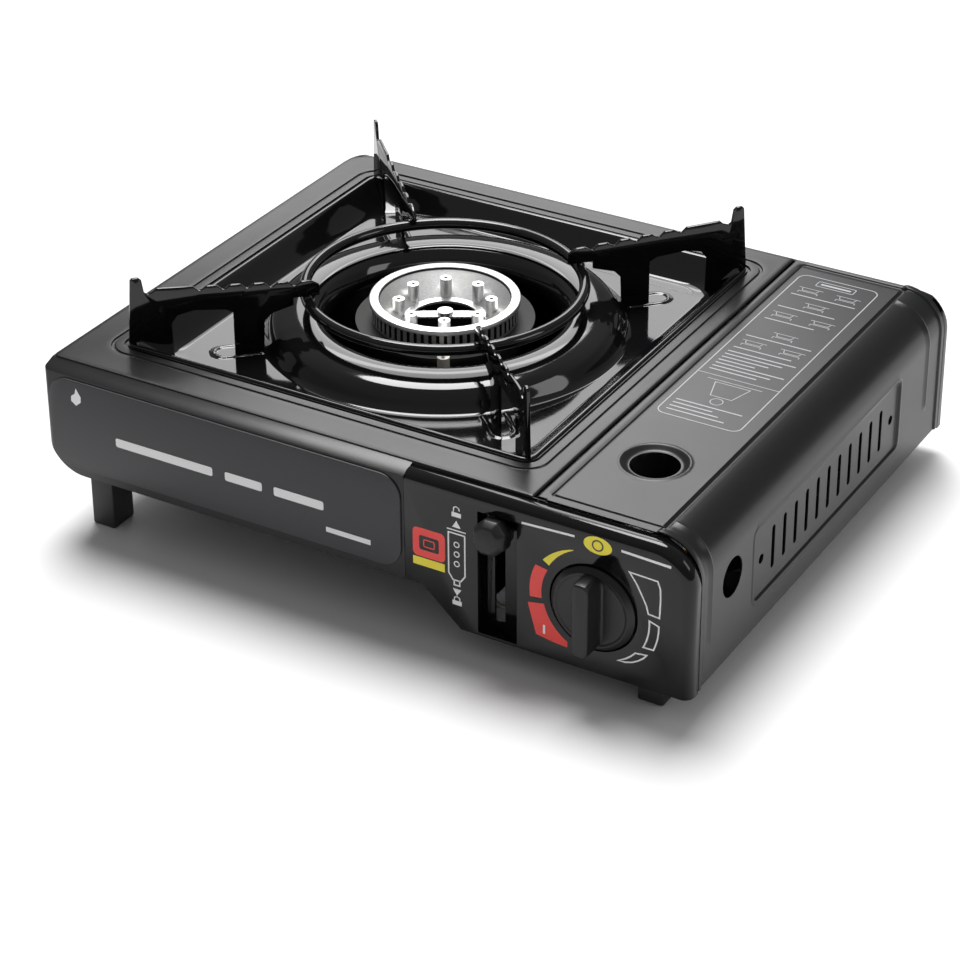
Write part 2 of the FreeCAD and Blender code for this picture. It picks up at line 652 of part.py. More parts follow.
def burner_crown():
    """Bright ring with the flame slots."""
    body = new_body("burner_crown")
    outer = sized("crown_radius")
    bore = sized("crown_bore")
    top = DECK + sized("crown_top")
    outline(sketch(body, "XZ_Plane"), [
        (bore, BASE_TOP), (outer - 1.0, BASE_TOP), (outer - 1.0, top - 3.0), (outer, top - 2.5),
        (outer, top - 1.0), (outer - 1.0, top), (bore, top)])
    revolve(body, body.Group[-1])
    doc.recompute()
    low = BASE_TOP + 1.2
    slot = rectangle(sketch(body, "YZ_Plane", bore - 2),
                     (-sized("flame_slot_width") / 2, sized("flame_slot_width") / 2),
                     (low, low + sized("flame_slot_height")))
    first = pocket(body, slot, outer - bore + 4, back=True)
    around = body.newObject("PartDesign::PolarPattern", "flame_slot_ring")
    around.Originals = [first]
    axis = [part for part in body.Origin.OriginFeatures if part.Role == "Z_Axis"][0]
    around.Axis = (axis, [""])
    around.Angle = 360
    bind(around, "Occurrences", sized("flame_slots"))
    body.Tip = around
    place(body, BURNER_X, BURNER_Y, 0)
    return keep(body, "burner_crown")


def burner_bowl():
    """Bright conical bowl inside the crown, with the hole in its middle."""
    body = new_body("burner_bowl")
    rim = sized("crown_bore")
    bore = sized("bowl_bore")
    top = DECK + sized("crown_top") - 1.5
    floor = DECK - 7.0
    outline(sketch(body, "XZ_Plane"), [
        (bore, floor), (bore + 4, floor), (rim, top - 1.5), (rim, top), (bore + 4, floor + 1.2),
        (bore, floor + 1.2)])
    revolve(body, body.Group[-1])
    place(body, BURNER_X, BURNER_Y, 0)
    return keep(body, "burner_bowl")


def burner_posts(bowl):
    """Eight hollow posts that stand on the bowl around its hole."""
    posts = []
    floor = DECK - 7.0
    for number in range(int(sized("post_count").number)):
        turn = POST_START + 2 * math.pi * number / sized("post_count").number
        x = BURNER_X + sized("post_circle") * math.cos(turn)
        y = BURNER_Y + sized("post_circle") * math.sin(turn)
        post = rod("post_%d" % number, "Z", (x, y), sized("post_radius"), (floor, DECK + 3.8))
        bore = rod("post_bore_%d" % number, "Z", (x, y), 1.0, (DECK, DECK + 5))
        posts.append(cut("post_%d" % number, post, bore))
    group = doc.addObject("Part::Compound", "post_group")
    group.Links = posts
    cone = new_body("post_foot_cone")
    rim = sized("crown_bore")
    bore = sized("bowl_bore")
    top = DECK + sized("crown_top") - 1.5
    outline(sketch(cone, "XZ_Plane"), [
        (bore, floor - 5), (rim + 2, floor - 5), (rim + 2, top), (rim, top),
        (bore + 4, floor + 1.2), (bore, floor + 1.2)])
    revolve(cone, cone.Group[-1])
    place(cone, BURNER_X, BURNER_Y, 0)
    return keep(cut("burner_posts", group, cone), "burner_posts")


def burner_crossbar():
    """Flat bar across the bowl's hole, held down by the middle screw."""
    bore = sized("bowl_bore")
    low = DECK - 5.8
    reach = bore + 3.5
    half = size(3.2)
    bar = doc.addObject("Part::Box", "crossbar_strip")
    bar.Placement.Rotation = Rotation(Vector(0, 0, 1), math.degrees(POST_START))
    bind(bar, "Length", reach * 2)
    bind(bar, "Width", half * 2)
    bind(bar, "Height", size(1.2))
    place(bar, BURNER_X - reach * math.cos(POST_START) + half * math.sin(POST_START),
          BURNER_Y - reach * math.sin(POST_START) - half * math.cos(POST_START), low)
    hole = rod("crossbar_hole", "Z", (BURNER_X, BURNER_Y), 1.6, (low - 1, low + 2))
    keep(cut("burner_crossbar", bar, hole), "burner_crossbar")
    head = rod("screw_head", "Z", (BURNER_X, BURNER_Y), 3.8, (low + 1.2, low + 3.2))
    shank = rod("screw_shank", "Z", (BURNER_X, BURNER_Y), 1.6, (low - 8, low + 1.4))
    keep(fuse("burner_screw", head, shank), "burner_screw")


def mixing_tube():
    """Tube that draws air in with the gas and turns up into the burner."""
    outer = sized("tube_radius")
    bore = outer - sized("tube_wall")
    shapes = []
    for name, radius, past in (("tube_skin", outer, 0), ("tube_bore", bore, 1)):
        flat = rod(name + "_flat", "X", (BURNER_Y, TUBE_Z), radius, (BURNER_X, TUBE_MOUTH + past))
        rise = rod(name + "_rise", "Z", (BURNER_X, BURNER_Y), radius, (TUBE_Z, BASE_BOTTOM + past))
        elbow = doc.addObject("Part::Sphere", name + "_elbow")
        bind(elbow, "Radius", radius)
        place(elbow, BURNER_X, BURNER_Y, TUBE_Z)
        shapes.append(fuse(name, flat, rise, elbow))
    keep(cut("mixing_tube", *shapes), "mixing_tube")
    nozzle = rod("injector_nozzle", "X", (BURNER_Y, TUBE_Z), 4.0, (TUBE_MOUTH - 4, TUBE_MOUTH + 9))
    keep(nozzle, "injector")


def burner_bracket():
    """Bridge on two legs that carries the burner above the floor."""
    x = (BURNER_X - 16, BURNER_X + 16)
    top = BASE_BOTTOM
    reach = 40.0
    strip = box("bridge_strip", x, (BURNER_Y - reach, BURNER_Y + reach), (top - STEEL, top))
    hole = rod("bridge_hole", "Z", (BURNER_X, BURNER_Y),
               sized("tube_radius") + 0.3, (top - 5, top + 5))
    legs = [box("bridge_leg%d" % number, x, (y, y + STEEL), (LEFT_FLOOR, top))
            for number, y in enumerate((BURNER_Y - reach - STEEL, BURNER_Y + reach))]
    return keep(fuse("burner_bracket", cut("bridge", strip, hole), *legs), "burner_bracket")


def electrode():
    """Spark electrode beside the crown: ceramic post, wire tip and its clip."""
    low = BASE_BOTTOM + 4
    top = DECK - 2.0
    clip = box("clip_strip", (ELECTRODE_X - 5, ELECTRODE_X + 5),
               (ELECTRODE_Y - 5, ELECTRODE_Y + 12), (low + 8, low + 9.2))
    clip_hole = rod("clip_hole", "Z", (ELECTRODE_X, ELECTRODE_Y), 3.0, (low, low + 20))
    drum = rod("clip_clear", "Z", (BURNER_X, BURNER_Y), sized("crown_radius"), (low, low + 20))
    keep(cut("electrode_clip", clip, clip_hole, drum), "electrode_clip")
    keep(rod("ceramic_post", "Z", (ELECTRODE_X, ELECTRODE_Y), 3.0, (low, top)), "electrode_ceramic")
    tip = bent_tube("electrode_wire", [
        (ELECTRODE_X, ELECTRODE_Y, top), (ELECTRODE_X, ELECTRODE_Y, DECK + 2.5),
        (ELECTRODE_X - 5.0, ELECTRODE_Y, DECK + 2.5)], 0.8, 2.0)
    keep(tip, "electrode_tip")


# ---- gas and ignition ---------------------------------------------------------------------------
def regulator():
    """Pressure regulator with its cover, the cartridge inlet and the stop for the cartridge."""
    x = (KNOB_X - REGULATOR_HALF, CARTRIDGE_X + INLET_RADIUS + 1.0)
    block = box("regulator_block", x, (REGULATOR_FRONT, REGULATOR_REAR), (KNOB_Z - 17, REGULATOR_TOP))
    bore = rod("regulator_bore", "Y", (KNOB_X, KNOB_Z), sized("stem_radius") + sized("hinge_play"),
               (REGULATOR_FRONT - 1, REGULATOR_FRONT + 12))
    keep(cut("regulator_body", block, bore), "regulator_body")
    middle = REGULATOR_FRONT + 13
    keep(rod("cover_disc", "Z", (KNOB_X, middle), 12.5, (REGULATOR_TOP, REGULATOR_TOP + 6)),
         "regulator_cover")
    ring = rod("inlet_ring", "Y", (CARTRIDGE_X, CARTRIDGE_Z), INLET_RADIUS, (REGULATOR_REAR, INLET_REAR))
    mouth = rod("inlet_mouth", "Y", (CARTRIDGE_X, CARTRIDGE_Z), 9.0, (REGULATOR_REAR + 2, INLET_REAR + 1))
    keep(cut("cartridge_inlet", ring, mouth), "cartridge_inlet")
    keep(box("bracket_plate", x, (REGULATOR_FRONT + 4, REGULATOR_REAR), (BAY_FLOOR, KNOB_Z - 17)),
         "regulator_bracket")
    keep(box("stop_plate", (CARTRIDGE_X - 8, CARTRIDGE_X + 8), (REGULATOR_REAR, REGULATOR_REAR + STEEL),
             (CARTRIDGE_Z + 16, CARTRIDGE_Z + 30)), "cartridge_stop")


def gas_pipe():
    """Thin pipe from the regulator, around the lever rod, to the injector."""
    pipe = bent_tube("gas_pipe_run", [
        (TUBE_MOUTH + 9, BURNER_Y, TUBE_Z), (PIPE_X, BURNER_Y, TUBE_Z),
        (PIPE_X, PIPE_ENTRY_Y, TUBE_Z), (KNOB_X - REGULATOR_HALF, PIPE_ENTRY_Y, TUBE_Z)],
        sized("pipe_radius"), sized("pipe_bend"))
    return keep(pipe, "gas_pipe")


def igniter():
    """Piezo igniter beside the valve; its plunger bears on the knob's cam."""
    x0 = IGNITER_X + 1.0
    case = box("igniter_case", (x0, x0 + 20), (IGNITER_Y - 5, REGULATOR_FRONT - 0.2),
               (KNOB_Z - 6, KNOB_Z + 6))
    bore = rod("igniter_bore", "X", (IGNITER_Y, KNOB_Z), PLUNGER_RADIUS + sized("hinge_play"),
               (x0 - 1, x0 + 13))
    keep(cut("igniter_body", case, bore), "igniter_body")
    plunger = rod("plunger_pin", "X", (IGNITER_Y, KNOB_Z), PLUNGER_RADIUS,
                  (KNOB_X + CAM_LOW + PLUNGER_GAP, x0 + 8))
    keep(plunger, "igniter_plunger")
    lead_y = IGNITER_Y
    lead_x = x0 + 10
    riser_x = DIP_END + 6
    lead = bent_tube("lead_run", [
        (lead_x, lead_y, KNOB_Z - 6), (lead_x, lead_y, BAY_FLOOR + 5), (riser_x, lead_y, BAY_FLOOR + 5),
        (riser_x, lead_y, LEFT_FLOOR + 10), (ELECTRODE_X, lead_y, LEFT_FLOOR + 10),
        (ELECTRODE_X, ELECTRODE_Y, LEFT_FLOOR + 10), (ELECTRODE_X, ELECTRODE_Y, BASE_BOTTOM + 4)],
        sized("lead_radius"), 5.0)
    keep(lead, "ignition_lead")


def knob():
    """Control knob with its grip, the valve stem and the spiral cam of the igniter."""
    body = new_body("control_knob")
    disc = circle(sketch(body, "XZ_Plane", -(FRONT + 6.0)), KNOB_X, KNOB_Z, sized("knob_radius"))
    pad(body, disc, 6.5)
    grip = rectangle(sketch(body, "XZ_Plane", -FRONT),
                     (KNOB_X - sized("grip_width") / 2, KNOB_X + sized("grip_width") / 2),
                     (KNOB_Z - sized("grip_length") / 2, KNOB_Z + sized("grip_length") / 2), 3.0)
    pad(body, grip, sized("knob_reach"))
    doc.recompute()
    bore = circle(sketch(body, "XZ_Plane", -(FRONT + 6.0)), KNOB_X, KNOB_Z, sized("stem_radius"))
    pocket(body, bore, 12.0, back=True)
    keep(body, "control_knob")
    stem = rod("stem_bar", "Y", (KNOB_X, KNOB_Z), sized("stem_radius"),
               (FRONT - 6.0, REGULATOR_FRONT + 10))
    keep(stem, "valve_stem")
    steps = 30
    rim = []
    for step in range(steps + 1):
        turn = math.radians(-CAM_SWEEP * step / steps)
        radius = CAM_LOW + CAM_LIFT * step / steps
        rim.append(Vector(KNOB_X.number + radius * math.cos(turn), 0,
                          KNOB_Z.number + radius * math.sin(turn)))
    spiral = Part.BSplineCurve()
    spiral.interpolate(rim)
    close = math.radians(105)
    over = Vector(KNOB_X.number + CAM_LOW * math.cos(close), 0,
                  KNOB_Z.number + CAM_LOW * math.sin(close))
    back_start = math.radians(-CAM_SWEEP - 8)
    neck = Vector(KNOB_X.number + CAM_LOW * math.cos(back_start), 0,
                  KNOB_Z.number + CAM_LOW * math.sin(back_start))
    wire = Part.Wire([spiral.toShape(), Part.LineSegment(rim[-1], neck).toShape(),
                      Part.Arc(neck, over, rim[0]).toShape()])
    disc = Part.Face(wire).extrude(Vector(0, CAM_THICK, 0))
    disc.translate(Vector(0, (CAM_REAR - CAM_THICK).number, 0))
    hole = Part.makeCylinder(sized("stem_radius").number, 40,
                             Vector(KNOB_X.number, (CAM_REAR - 20).number, KNOB_Z.number),
                             Vector(0, 1, 0))
    cam = doc.addObject("Part::Feature", "cam_disc")
    cam.Shape = disc.cut(hole)
    keep(cam, "igniter_cam")


# ---- cartridge lock -----------------------------------------------------------------------------
def lock_lever():
    """Pivoted steel arm with the knob that is pushed down in the channel, and its bracket."""
    reach = (PIVOT_Y - CHANNEL_FLOOR).number
    tilt = math.atan2(sized("lever_rise").number, reach)

    def on_arm(along, above):
        """A place on the lever, measured along the arm from its pivot and square to the arm."""
        return (PIVOT_Y - size(along) * math.cos(tilt) + size(above) * math.sin(tilt),
                PIVOT_Z + size(along) * math.sin(tilt) + size(above) * math.cos(tilt))

    knob_rear = (PIVOT_Y - CHANNEL_FLOOR) / math.cos(tilt) + 2.6
    knob_front = knob_rear + 12.0
    half = 4.5
    nose = knob_front - 2.0
    body = new_body("lever_arm")
    side = outline(sketch(body, "YZ_Plane", LEVER_X - LEVER_STEEL / 2), [
        (PIVOT_Y - 9, PIVOT_Z - 8), (PIVOT_Y + 9, PIVOT_Z - 8), (PIVOT_Y + 9, PIVOT_Z + 6),
        (PIVOT_Y + 5, PIVOT_Z + 20), (PIVOT_Y - 5, PIVOT_Z + 20), (PIVOT_Y - 9, PIVOT_Z + 8),
        on_arm(20, half), on_arm(nose, half), on_arm(nose, -half), on_arm(20, -half)])
    pad(body, side, LEVER_STEEL)
    doc.recompute()
    eye = circle(sketch(body, "YZ_Plane", LEVER_X + LEVER_STEEL), PIVOT_Y, PIVOT_Z,
                 sized("lever_pin") + sized("hinge_play"))
    pocket(body, eye, LEVER_STEEL * 2)
    keep(body, "lever_arm")
    lean = Rotation(Vector(0, 0, 1), Vector(0, -math.cos(tilt), math.sin(tilt)))
    cap = doc.addObject("Part::Cylinder", "lever_cap")
    cap.Placement.Rotation = lean
    bind(cap, "Radius", sized("lever_knob_radius"))
    bind(cap, "Height", knob_front - knob_rear)
    place(cap, LEFT + sized("lever_knob_across"), *on_arm(knob_rear, 0))
    slit = doc.addObject("Part::Box", "lever_cap_slit")
    slit.Placement.Rotation = Rotation(Vector(1, 0, 0), -math.degrees(tilt))
    bind(slit, "Length", LEVER_STEEL)
    bind(slit, "Width", nose - knob_rear + 5)
    bind(slit, "Height", size(half * 2))
    place(slit, LEVER_X - LEVER_STEEL / 2, *on_arm(nose, -half))
    keep(cut("lever_knob", cap, slit), "lever_knob")
    plate_x = LEVER_X - 6.5
    plate = box("lever_bracket_plate", (plate_x, plate_x + LEVER_STEEL), (PIVOT_Y - 12, PIVOT_Y + 12),
                (BAY_FLOOR, PIVOT_Z + 8))
    hole = rod("lever_bracket_hole", "X", (PIVOT_Y, PIVOT_Z), sized("lever_pin"),
               (plate_x - 1, plate_x + 3))
    keep(cut("lever_bracket", plate, hole), "lever_bracket")
    pin = rod("pivot_pin", "X", (PIVOT_Y, PIVOT_Z), sized("lever_pin"), (plate_x, LEVER_X + 1.0))
    keep(pin, "lever_pin")


def cartridge_slide():
    """Rod and plate that push the cartridge on to the inlet, with the guide on the floor."""
    rod_x = (ROD_X, ROD_X + LEVER_STEEL)
    z = (ROD_LOW, ROD_HIGH)
    keep(box("link_bar", rod_x, (PIVOT_Y - 8, PUSHER_Y), z), "link_rod")
    half = 20.0
    blade = box("pusher_blade", (ROD_X, CARTRIDGE_X + half), (PUSHER_Y, PUSHER_Y + LEVER_STEEL),
                (CARTRIDGE_Z - 12, ROD_HIGH))
    keep(blade, "pusher_plate")
    gap = 0.4
    guide_y = (BURNER_Y + 30, BURNER_Y + 38)
    post = box("guide_post", (ROD_X - 3, ROD_X + LEVER_STEEL + 3), guide_y, (BAY_FLOOR, ROD_HIGH + 3))
    way = box("guide_way", (ROD_X - gap, ROD_X + LEVER_STEEL + gap),
              (guide_y[0] - 1, guide_y[1] + 1), (ROD_LOW - gap, ROD_HIGH + gap))
    keep(cut("rod_guide", post, way), "rod_guide")


def cradles():
    """Two ribs across the bay's floor that carry the cartridge."""
    radius = sized("cartridge_radius") + sized("cartridge_play")
    for name, y in (("cradle_front", INLET_REAR + 35), ("cradle_rear", INLET_REAR + 130)):
        rib = box(name + "_rib", (CARTRIDGE_X - 30, CARTRIDGE_X + 30), (y, y + 3),
                  (BAY_FLOOR, CRADLE_TOP + 12))
        rest = rod(name + "_rest", "Y", (CARTRIDGE_X, CARTRIDGE_Z), radius, (y - 1, y + 4))
        keep(cut(name, rib, rest), name)


# ---- lid ----------------------------------------------------------------------------------------
def bay_lid():
    """Lid over the bay: flat top, rounded shoulder and side in one bent sheet, curled at the seam."""
    body = new_body("bay_lid")
    front = EDGE_FRONT + sized("lid_gap")
    rear = EDGE_REAR - sized("lid_gap")
    radius = sized("lid_radius")
    top = DECK
    length = rear - front
    bent = outline(sketch(body, "XZ_Plane", -front), [
        (HINGE_X, top), (LID_SIDE, top, radius), (LID_SIDE, sized("lid_bottom")),
        (LID_SIDE - STEEL, sized("lid_bottom")), (LID_SIDE - STEEL, top - STEEL, radius - STEEL),
        (HINGE_X, top - STEEL)])
    pad(body, bent, length, back=True)
    doc.recompute()
    hoop_start = LID_SIDE - radius - 2
    hoop_top = top + sized("hoop_height")
    for end, back in ((front, True), (rear, False)):
        hoop = outline(sketch(body, "XZ_Plane", -end), [
            (hoop_start, hoop_top), (RIGHT, hoop_top, radius + sized("hoop_height")),
            (RIGHT, sized("lid_bottom")), (LID_SIDE - STEEL / 2, sized("lid_bottom")),
            (LID_SIDE - STEEL / 2, top - STEEL / 2, radius - STEEL / 2),
            (hoop_start, top - STEEL / 2)])
        pad(body, hoop, sized("hoop_width"), back=back)
    curl_front = EDGE_FRONT + STEEL + sized("lid_gap")
    curl_rear = EDGE_REAR - STEEL - sized("lid_gap")
    curl = circle(sketch(body, "XZ_Plane", -curl_front), HINGE_X, HINGE_Z, sized("hinge_drop") - 0.3)
    pad(body, curl, curl_rear - curl_front, back=True)
    doc.recompute()
    bore = circle(sketch(body, "XZ_Plane", -(front - 1)), HINGE_X, HINGE_Z,
                  sized("hinge_wire") + sized("hinge_play"))
    pocket(body, bore, length + 2)
    for low, high in ((front - 1, curl_front), (curl_rear, rear + 1)):
        notch = rectangle(sketch(body, "XY_Plane", top + 1), (HINGE_X - 4, SEAM + 6.5), (low, high))
        pocket(body, notch, STEEL + 2)
    hole = circle(sketch(body, "XY_Plane", top + 1), LEFT + sized("finger_across"),
                  EDGE_FRONT + sized("finger_back"), sized("finger_hole"))
    pocket(body, hole, STEEL + 2)
    peep = circle(sketch(body, "YZ_Plane", RIGHT + 1), EDGE_FRONT + sized("side_hole_back"),
                  DECK - sized("side_hole_drop"), sized("side_hole"))
    pocket(body, peep, STEEL + 3)
    for place_back in (sized("vent_first") - sized("rivet_margin"),
                       sized("vent_first") + sized("vent_pitch") * (sized("vent_count") - 1)
                       + sized("rivet_margin")):
        spot = circle(sketch(body, "YZ_Plane", RIGHT + 1), EDGE_FRONT + place_back,
                      DECK - sized("vent_drop"), sized("rivet_hole"))
        pocket(body, spot, STEEL + 3)
    middle = EDGE_FRONT + sized("vent_first")
    half = sized("vent_width") / 2
    tall = sized("vent_height") / 2
    slot = rectangle(sketch(body, "YZ_Plane", RIGHT + 1), (middle - half, middle + half),
                     (DECK - sized("vent_drop") - tall, DECK - sized("vent_drop") + tall))
    first = pocket(body, slot, STEEL + 3)
    row = body.newObject("PartDesign::LinearPattern", "vent_row")
    row.Originals = [first]
    row.Direction = (slot, ["H_Axis"])
    bind(row, "Length", sized("vent_pitch") * (sized("vent_count") - 1))
    bind(row, "Occurrences", sized("vent_count"))
    body.Tip = row
    keep(body, "bay_lid")
    wire = rod("hinge_bar", "Y", (HINGE_X, HINGE_Z), sized("hinge_wire"), (EDGE_FRONT, EDGE_REAR + 1))
    keep(wire, "lid_hinge_wire")


# ---- pan support --------------------------------------------------------------------------------
def drip_tray():
    """Enamelled square tray with a round swell around the burner opening."""
    body = new_body("drip_tray")
    half = sized("tray_side") / 2
    thick = sized("tray_steel")
    inner = half - sized("tray_rim") - 0.6
    floor_half = inner - sized("tray_slope")
    under = DECK - sized("tray_depth")
    corner = sized("tray_corner")

    def square(plane_z, reach, radius):
        return rectangle(sketch(body, "XY_Plane", plane_z), (-reach, reach), (-reach, reach), radius)

    pad(body, square(DECK, half, corner), thick)
    basin = body.newObject("PartDesign::AdditiveLoft", "tray_basin")
    basin.Profile = square(under, floor_half, corner)
    basin.Sections = [square(DECK, inner, corner)]
    basin.Ruled = True
    doc.recompute()
    hollow = body.newObject("PartDesign::SubtractiveLoft", "tray_hollow")
    hollow.Profile = square(under + thick, floor_half - thick / 2, corner - thick / 2)
    hollow.Sections = [square(DECK + thick, inner - thick / 2, corner - thick / 2)]
    hollow.Ruled = True
    doc.recompute()
    outer = sized("swell_outer")
    mouth = circle(sketch(body, "XY_Plane", under + thick + 1), 0, 0, outer - 1)
    pocket(body, mouth, thick + 3)
    edge = sized("swell_inner")
    span = outer - edge
    crest = DECK + 1.0
    upper = [(outer, under + thick), (outer - span * 0.16, under + thick + 1.6),
             (outer - span * 0.36, crest - 1.6), (outer - span * 0.52, crest),
             (outer - span * 0.70, crest), (outer - span * 0.88, crest - 2.2), (edge, under)]
    lower = [(edge + thick, under), (outer - span * 0.88 + thick * 0.4, crest - 2.2 - thick),
             (outer - span * 0.70, crest - thick), (outer - span * 0.52, crest - thick),
             (outer - span * 0.36, crest - 1.6 - thick), (outer - span * 0.16, under + 1.6),
             (outer, under)]
    outline(sketch(body, "XZ_Plane"), upper + lower)
    revolve(body, body.Group[-1])
    place(body, BURNER_X, BURNER_Y, 0)
    return keep(body, "drip_tray")


def wire_ring():
    """Round wire ring that ties the four arms together."""
    ring = doc.addObject("Part::Torus", "ring_wire")
    bind(ring, "Radius1", sized("ring_radius"))
    bind(ring, "Radius2", sized("ring_wire"))
    place(ring, BURNER_X, BURNER_Y, DECK + sized("ring_lift"))
    return keep(ring, "trivet_ring")


def trivet_arms():
    """Four flat steel arms on the diagonals, toothed on top, each standing on two legs."""
    outer = sized("arm_outer")
    inner = sized("arm_inner")
    top = sized("arm_height") + DECK
    tip = sized("arm_tip") + DECK
    floor = DECK - sized("tray_depth") + sized("tray_steel")
    saddle = DECK + sized("ring_lift") + sized("ring_wire")
    rim = DECK + sized("tray_steel")
    ring = sized("ring_radius") + sized("ring_wire")
    diagonal = math.sqrt(2)
    brim = sized("tray_side") / 2 - sized("tray_rim") - 1.0
    rim_corner = brim * diagonal - sized("tray_corner") * (diagonal - 1) - 0.5
    floor_corner = rim_corner - sized("tray_slope") * diagonal
    teeth = 5
    first = outer - 31
    tooth = (first - inner - 4) / teeth
    fall = 0.9
    for number in range(4):
        name = "trivet_arm_%d" % (number + 1)
        body = new_body(name)
        profile = [(outer + 0.6, rim), (outer - 1.5, tip - 1), (outer - 2.5, tip), (outer - 5.5, tip),
                   (outer - 7, tip - 1.5), (outer - 8, top - 0.5), (outer - 9.5, top - 1.4),
                   (outer - 12, top - 0.6), (outer - 14, top + 1.2), (first, top)]
        for step in range(teeth):
            start = first - tooth * step
            level = top - fall * (step + 1)
            profile += [(start - 2.8, level - 1.8), (start - 4.6, level - 1.4),
                        (start - 6.6, level + 0.2), (start - tooth, level)]
        profile += [(inner, top - 7), (inner, saddle), (ring + 4, saddle), (ring + 4, DECK + 10.6),
                    (ring + 15, DECK + 7.5), (ring + 18.4, DECK + 4), (ring + 19, floor),
                    (ring + 33.3, floor), (ring + 33.3, DECK + 10.5), (ring + 37, DECK + 12.6),
                    (ring + 52, DECK + 14.2), (ring + 60, DECK + 12.6),
                    (floor_corner - 0.4, DECK + 8.5), (floor_corner - 1, floor),
                    (floor_corner, floor), (rim_corner, rim)]
        side = outline(sketch(body, "XZ_Plane", -sized("arm_steel") / 2), profile)
        pad(body, side, sized("arm_steel"))
        turn = Rotation(Vector(0, 0, 1), 45 + 90 * number)
        body.Placement.Rotation = turn
        place(body, BURNER_X, BURNER_Y, 0)
        keep(body, name)


def screws():
    """Four screws that hold the feet and the floor together."""
    heads = []
    for number, (x, y, z) in enumerate((
            (LEFT + 40, EDGE_FRONT + 20, LEFT_UNDER), (LEFT + 40, REAR - 40, LEFT_UNDER),
            (RIGHT - 45, EDGE_FRONT + 20, BAY_UNDER), (RIGHT - 45, REAR - 40, BAY_UNDER))):
        heads.append(rod("floor_screw_%d" % number, "Z", (x, y), 3.5, (z - 1.8, z)))
    group = doc.addObject("Part::Compound", "screw_group")
    group.Links = heads
    return keep(group, "floor_screws")


def build():
    """Makes every piece."""
    body_shell()
    top_plate()
    label_plate()
    control_panel()
    partition()
    feet()
    burner_base()
    burner_crown()
    burner_posts(burner_bowl())
    burner_crossbar()
    mixing_tube()
    burner_bracket()
    electrode()
    regulator()
    gas_pipe()
    igniter()
    knob()
    lock_lever()
    cartridge_slide()
    cradles()
    bay_lid()
    drip_tray()
    wire_ring()
    trivet_arms()
    screws()


def write():
    """Checks the whole document, then writes each piece to its own file."""
    doc.recompute()
    for item in doc.Objects:
        assert not {"Invalid", "Error"} & set(item.State), "%s failed: %s" % (item.Name, item.State)
    os.makedirs("parts", exist_ok=True)
    for item in pieces:
        shape = item.Shape
        assert not shape.isNull() and shape.isValid(), "%s is not a sound solid" % item.Label
        assert shape.Solids, "%s holds no solid" % item.Label
        shape.exportStep("parts/%s.step" % item.Label)
        print("%-20s %6.1f cm3  %d solid" % (item.Label, shape.Volume / 1000, len(shape.Solids)))


build()
write()
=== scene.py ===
# %% [markdown]
# # A single-burner cassette stove
# The stove is a pressed steel housing with a cooktop, a glossy control panel, a hinged lid over the
# gas cartridge and a pan support that lifts out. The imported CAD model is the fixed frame. This lesson
# dresses that frame: some parts keep their CAD mesh and get a finish, some are replaced by a piece
# with the pressed lines, rolled rims and rounded edges that the real part has.

import json
import math

import bmesh
import bpy
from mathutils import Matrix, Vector

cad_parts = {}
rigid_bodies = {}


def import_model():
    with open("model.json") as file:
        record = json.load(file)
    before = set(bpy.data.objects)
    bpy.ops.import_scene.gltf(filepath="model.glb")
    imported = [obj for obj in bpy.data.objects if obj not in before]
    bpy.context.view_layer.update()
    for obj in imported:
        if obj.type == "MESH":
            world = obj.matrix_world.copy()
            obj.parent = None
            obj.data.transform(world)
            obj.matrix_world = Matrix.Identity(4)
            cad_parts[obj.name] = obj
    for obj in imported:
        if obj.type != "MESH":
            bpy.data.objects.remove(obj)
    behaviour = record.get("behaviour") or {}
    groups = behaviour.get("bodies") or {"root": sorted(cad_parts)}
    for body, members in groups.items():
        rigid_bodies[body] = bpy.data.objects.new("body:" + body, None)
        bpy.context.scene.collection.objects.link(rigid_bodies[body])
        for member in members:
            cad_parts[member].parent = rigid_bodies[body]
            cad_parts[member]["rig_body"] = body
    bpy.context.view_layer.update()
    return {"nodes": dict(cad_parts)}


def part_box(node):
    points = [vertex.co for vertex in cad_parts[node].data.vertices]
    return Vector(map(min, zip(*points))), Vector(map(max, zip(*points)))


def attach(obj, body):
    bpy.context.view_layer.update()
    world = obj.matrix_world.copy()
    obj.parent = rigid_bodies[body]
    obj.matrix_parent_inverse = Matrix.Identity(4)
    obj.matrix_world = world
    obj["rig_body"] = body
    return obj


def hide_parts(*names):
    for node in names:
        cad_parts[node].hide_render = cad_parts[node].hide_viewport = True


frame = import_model()
nodes = frame["nodes"]
MM = 0.001
print("parts in the frame:", len(nodes))

# %% [markdown]
# ## Arithmetic on a surface
# A finish that varies needs sums: a noise times a strength, one minus a mask. Each sum could be a Math
# node added by hand, but then the idea drowns in nodes. A small class wraps a socket and adds the node
# when two values are added or multiplied, so the finish reads like the sum that it is.

# %% A value that can be calculated with
class Value:
    """One number that varies over a surface. Arithmetic on it adds Math nodes to the same tree."""

    def __init__(self, tree, socket):
        self.tree = tree
        self.socket = socket

    def sum(self, operation, first, second):
        node = self.tree.nodes.new("ShaderNodeMath")
        node.operation = operation
        for place, item in zip(node.inputs, (first, second)):
            if isinstance(item, Value):
                self.tree.links.new(item.socket, place)
            else:
                place.default_value = item
        return Value(self.tree, node.outputs[0])

    def __add__(self, other):
        return self.sum("ADD", self, other)

    def __radd__(self, other):
        return self.sum("ADD", other, self)

    def __sub__(self, other):
        return self.sum("SUBTRACT", self, other)

    def __rsub__(self, other):
        return self.sum("SUBTRACT", other, self)

    def __mul__(self, other):
        return self.sum("MULTIPLY", self, other)

    def __rmul__(self, other):
        return self.sum("MULTIPLY", other, self)


print("a Value can be added, subtracted and multiplied, from either side")

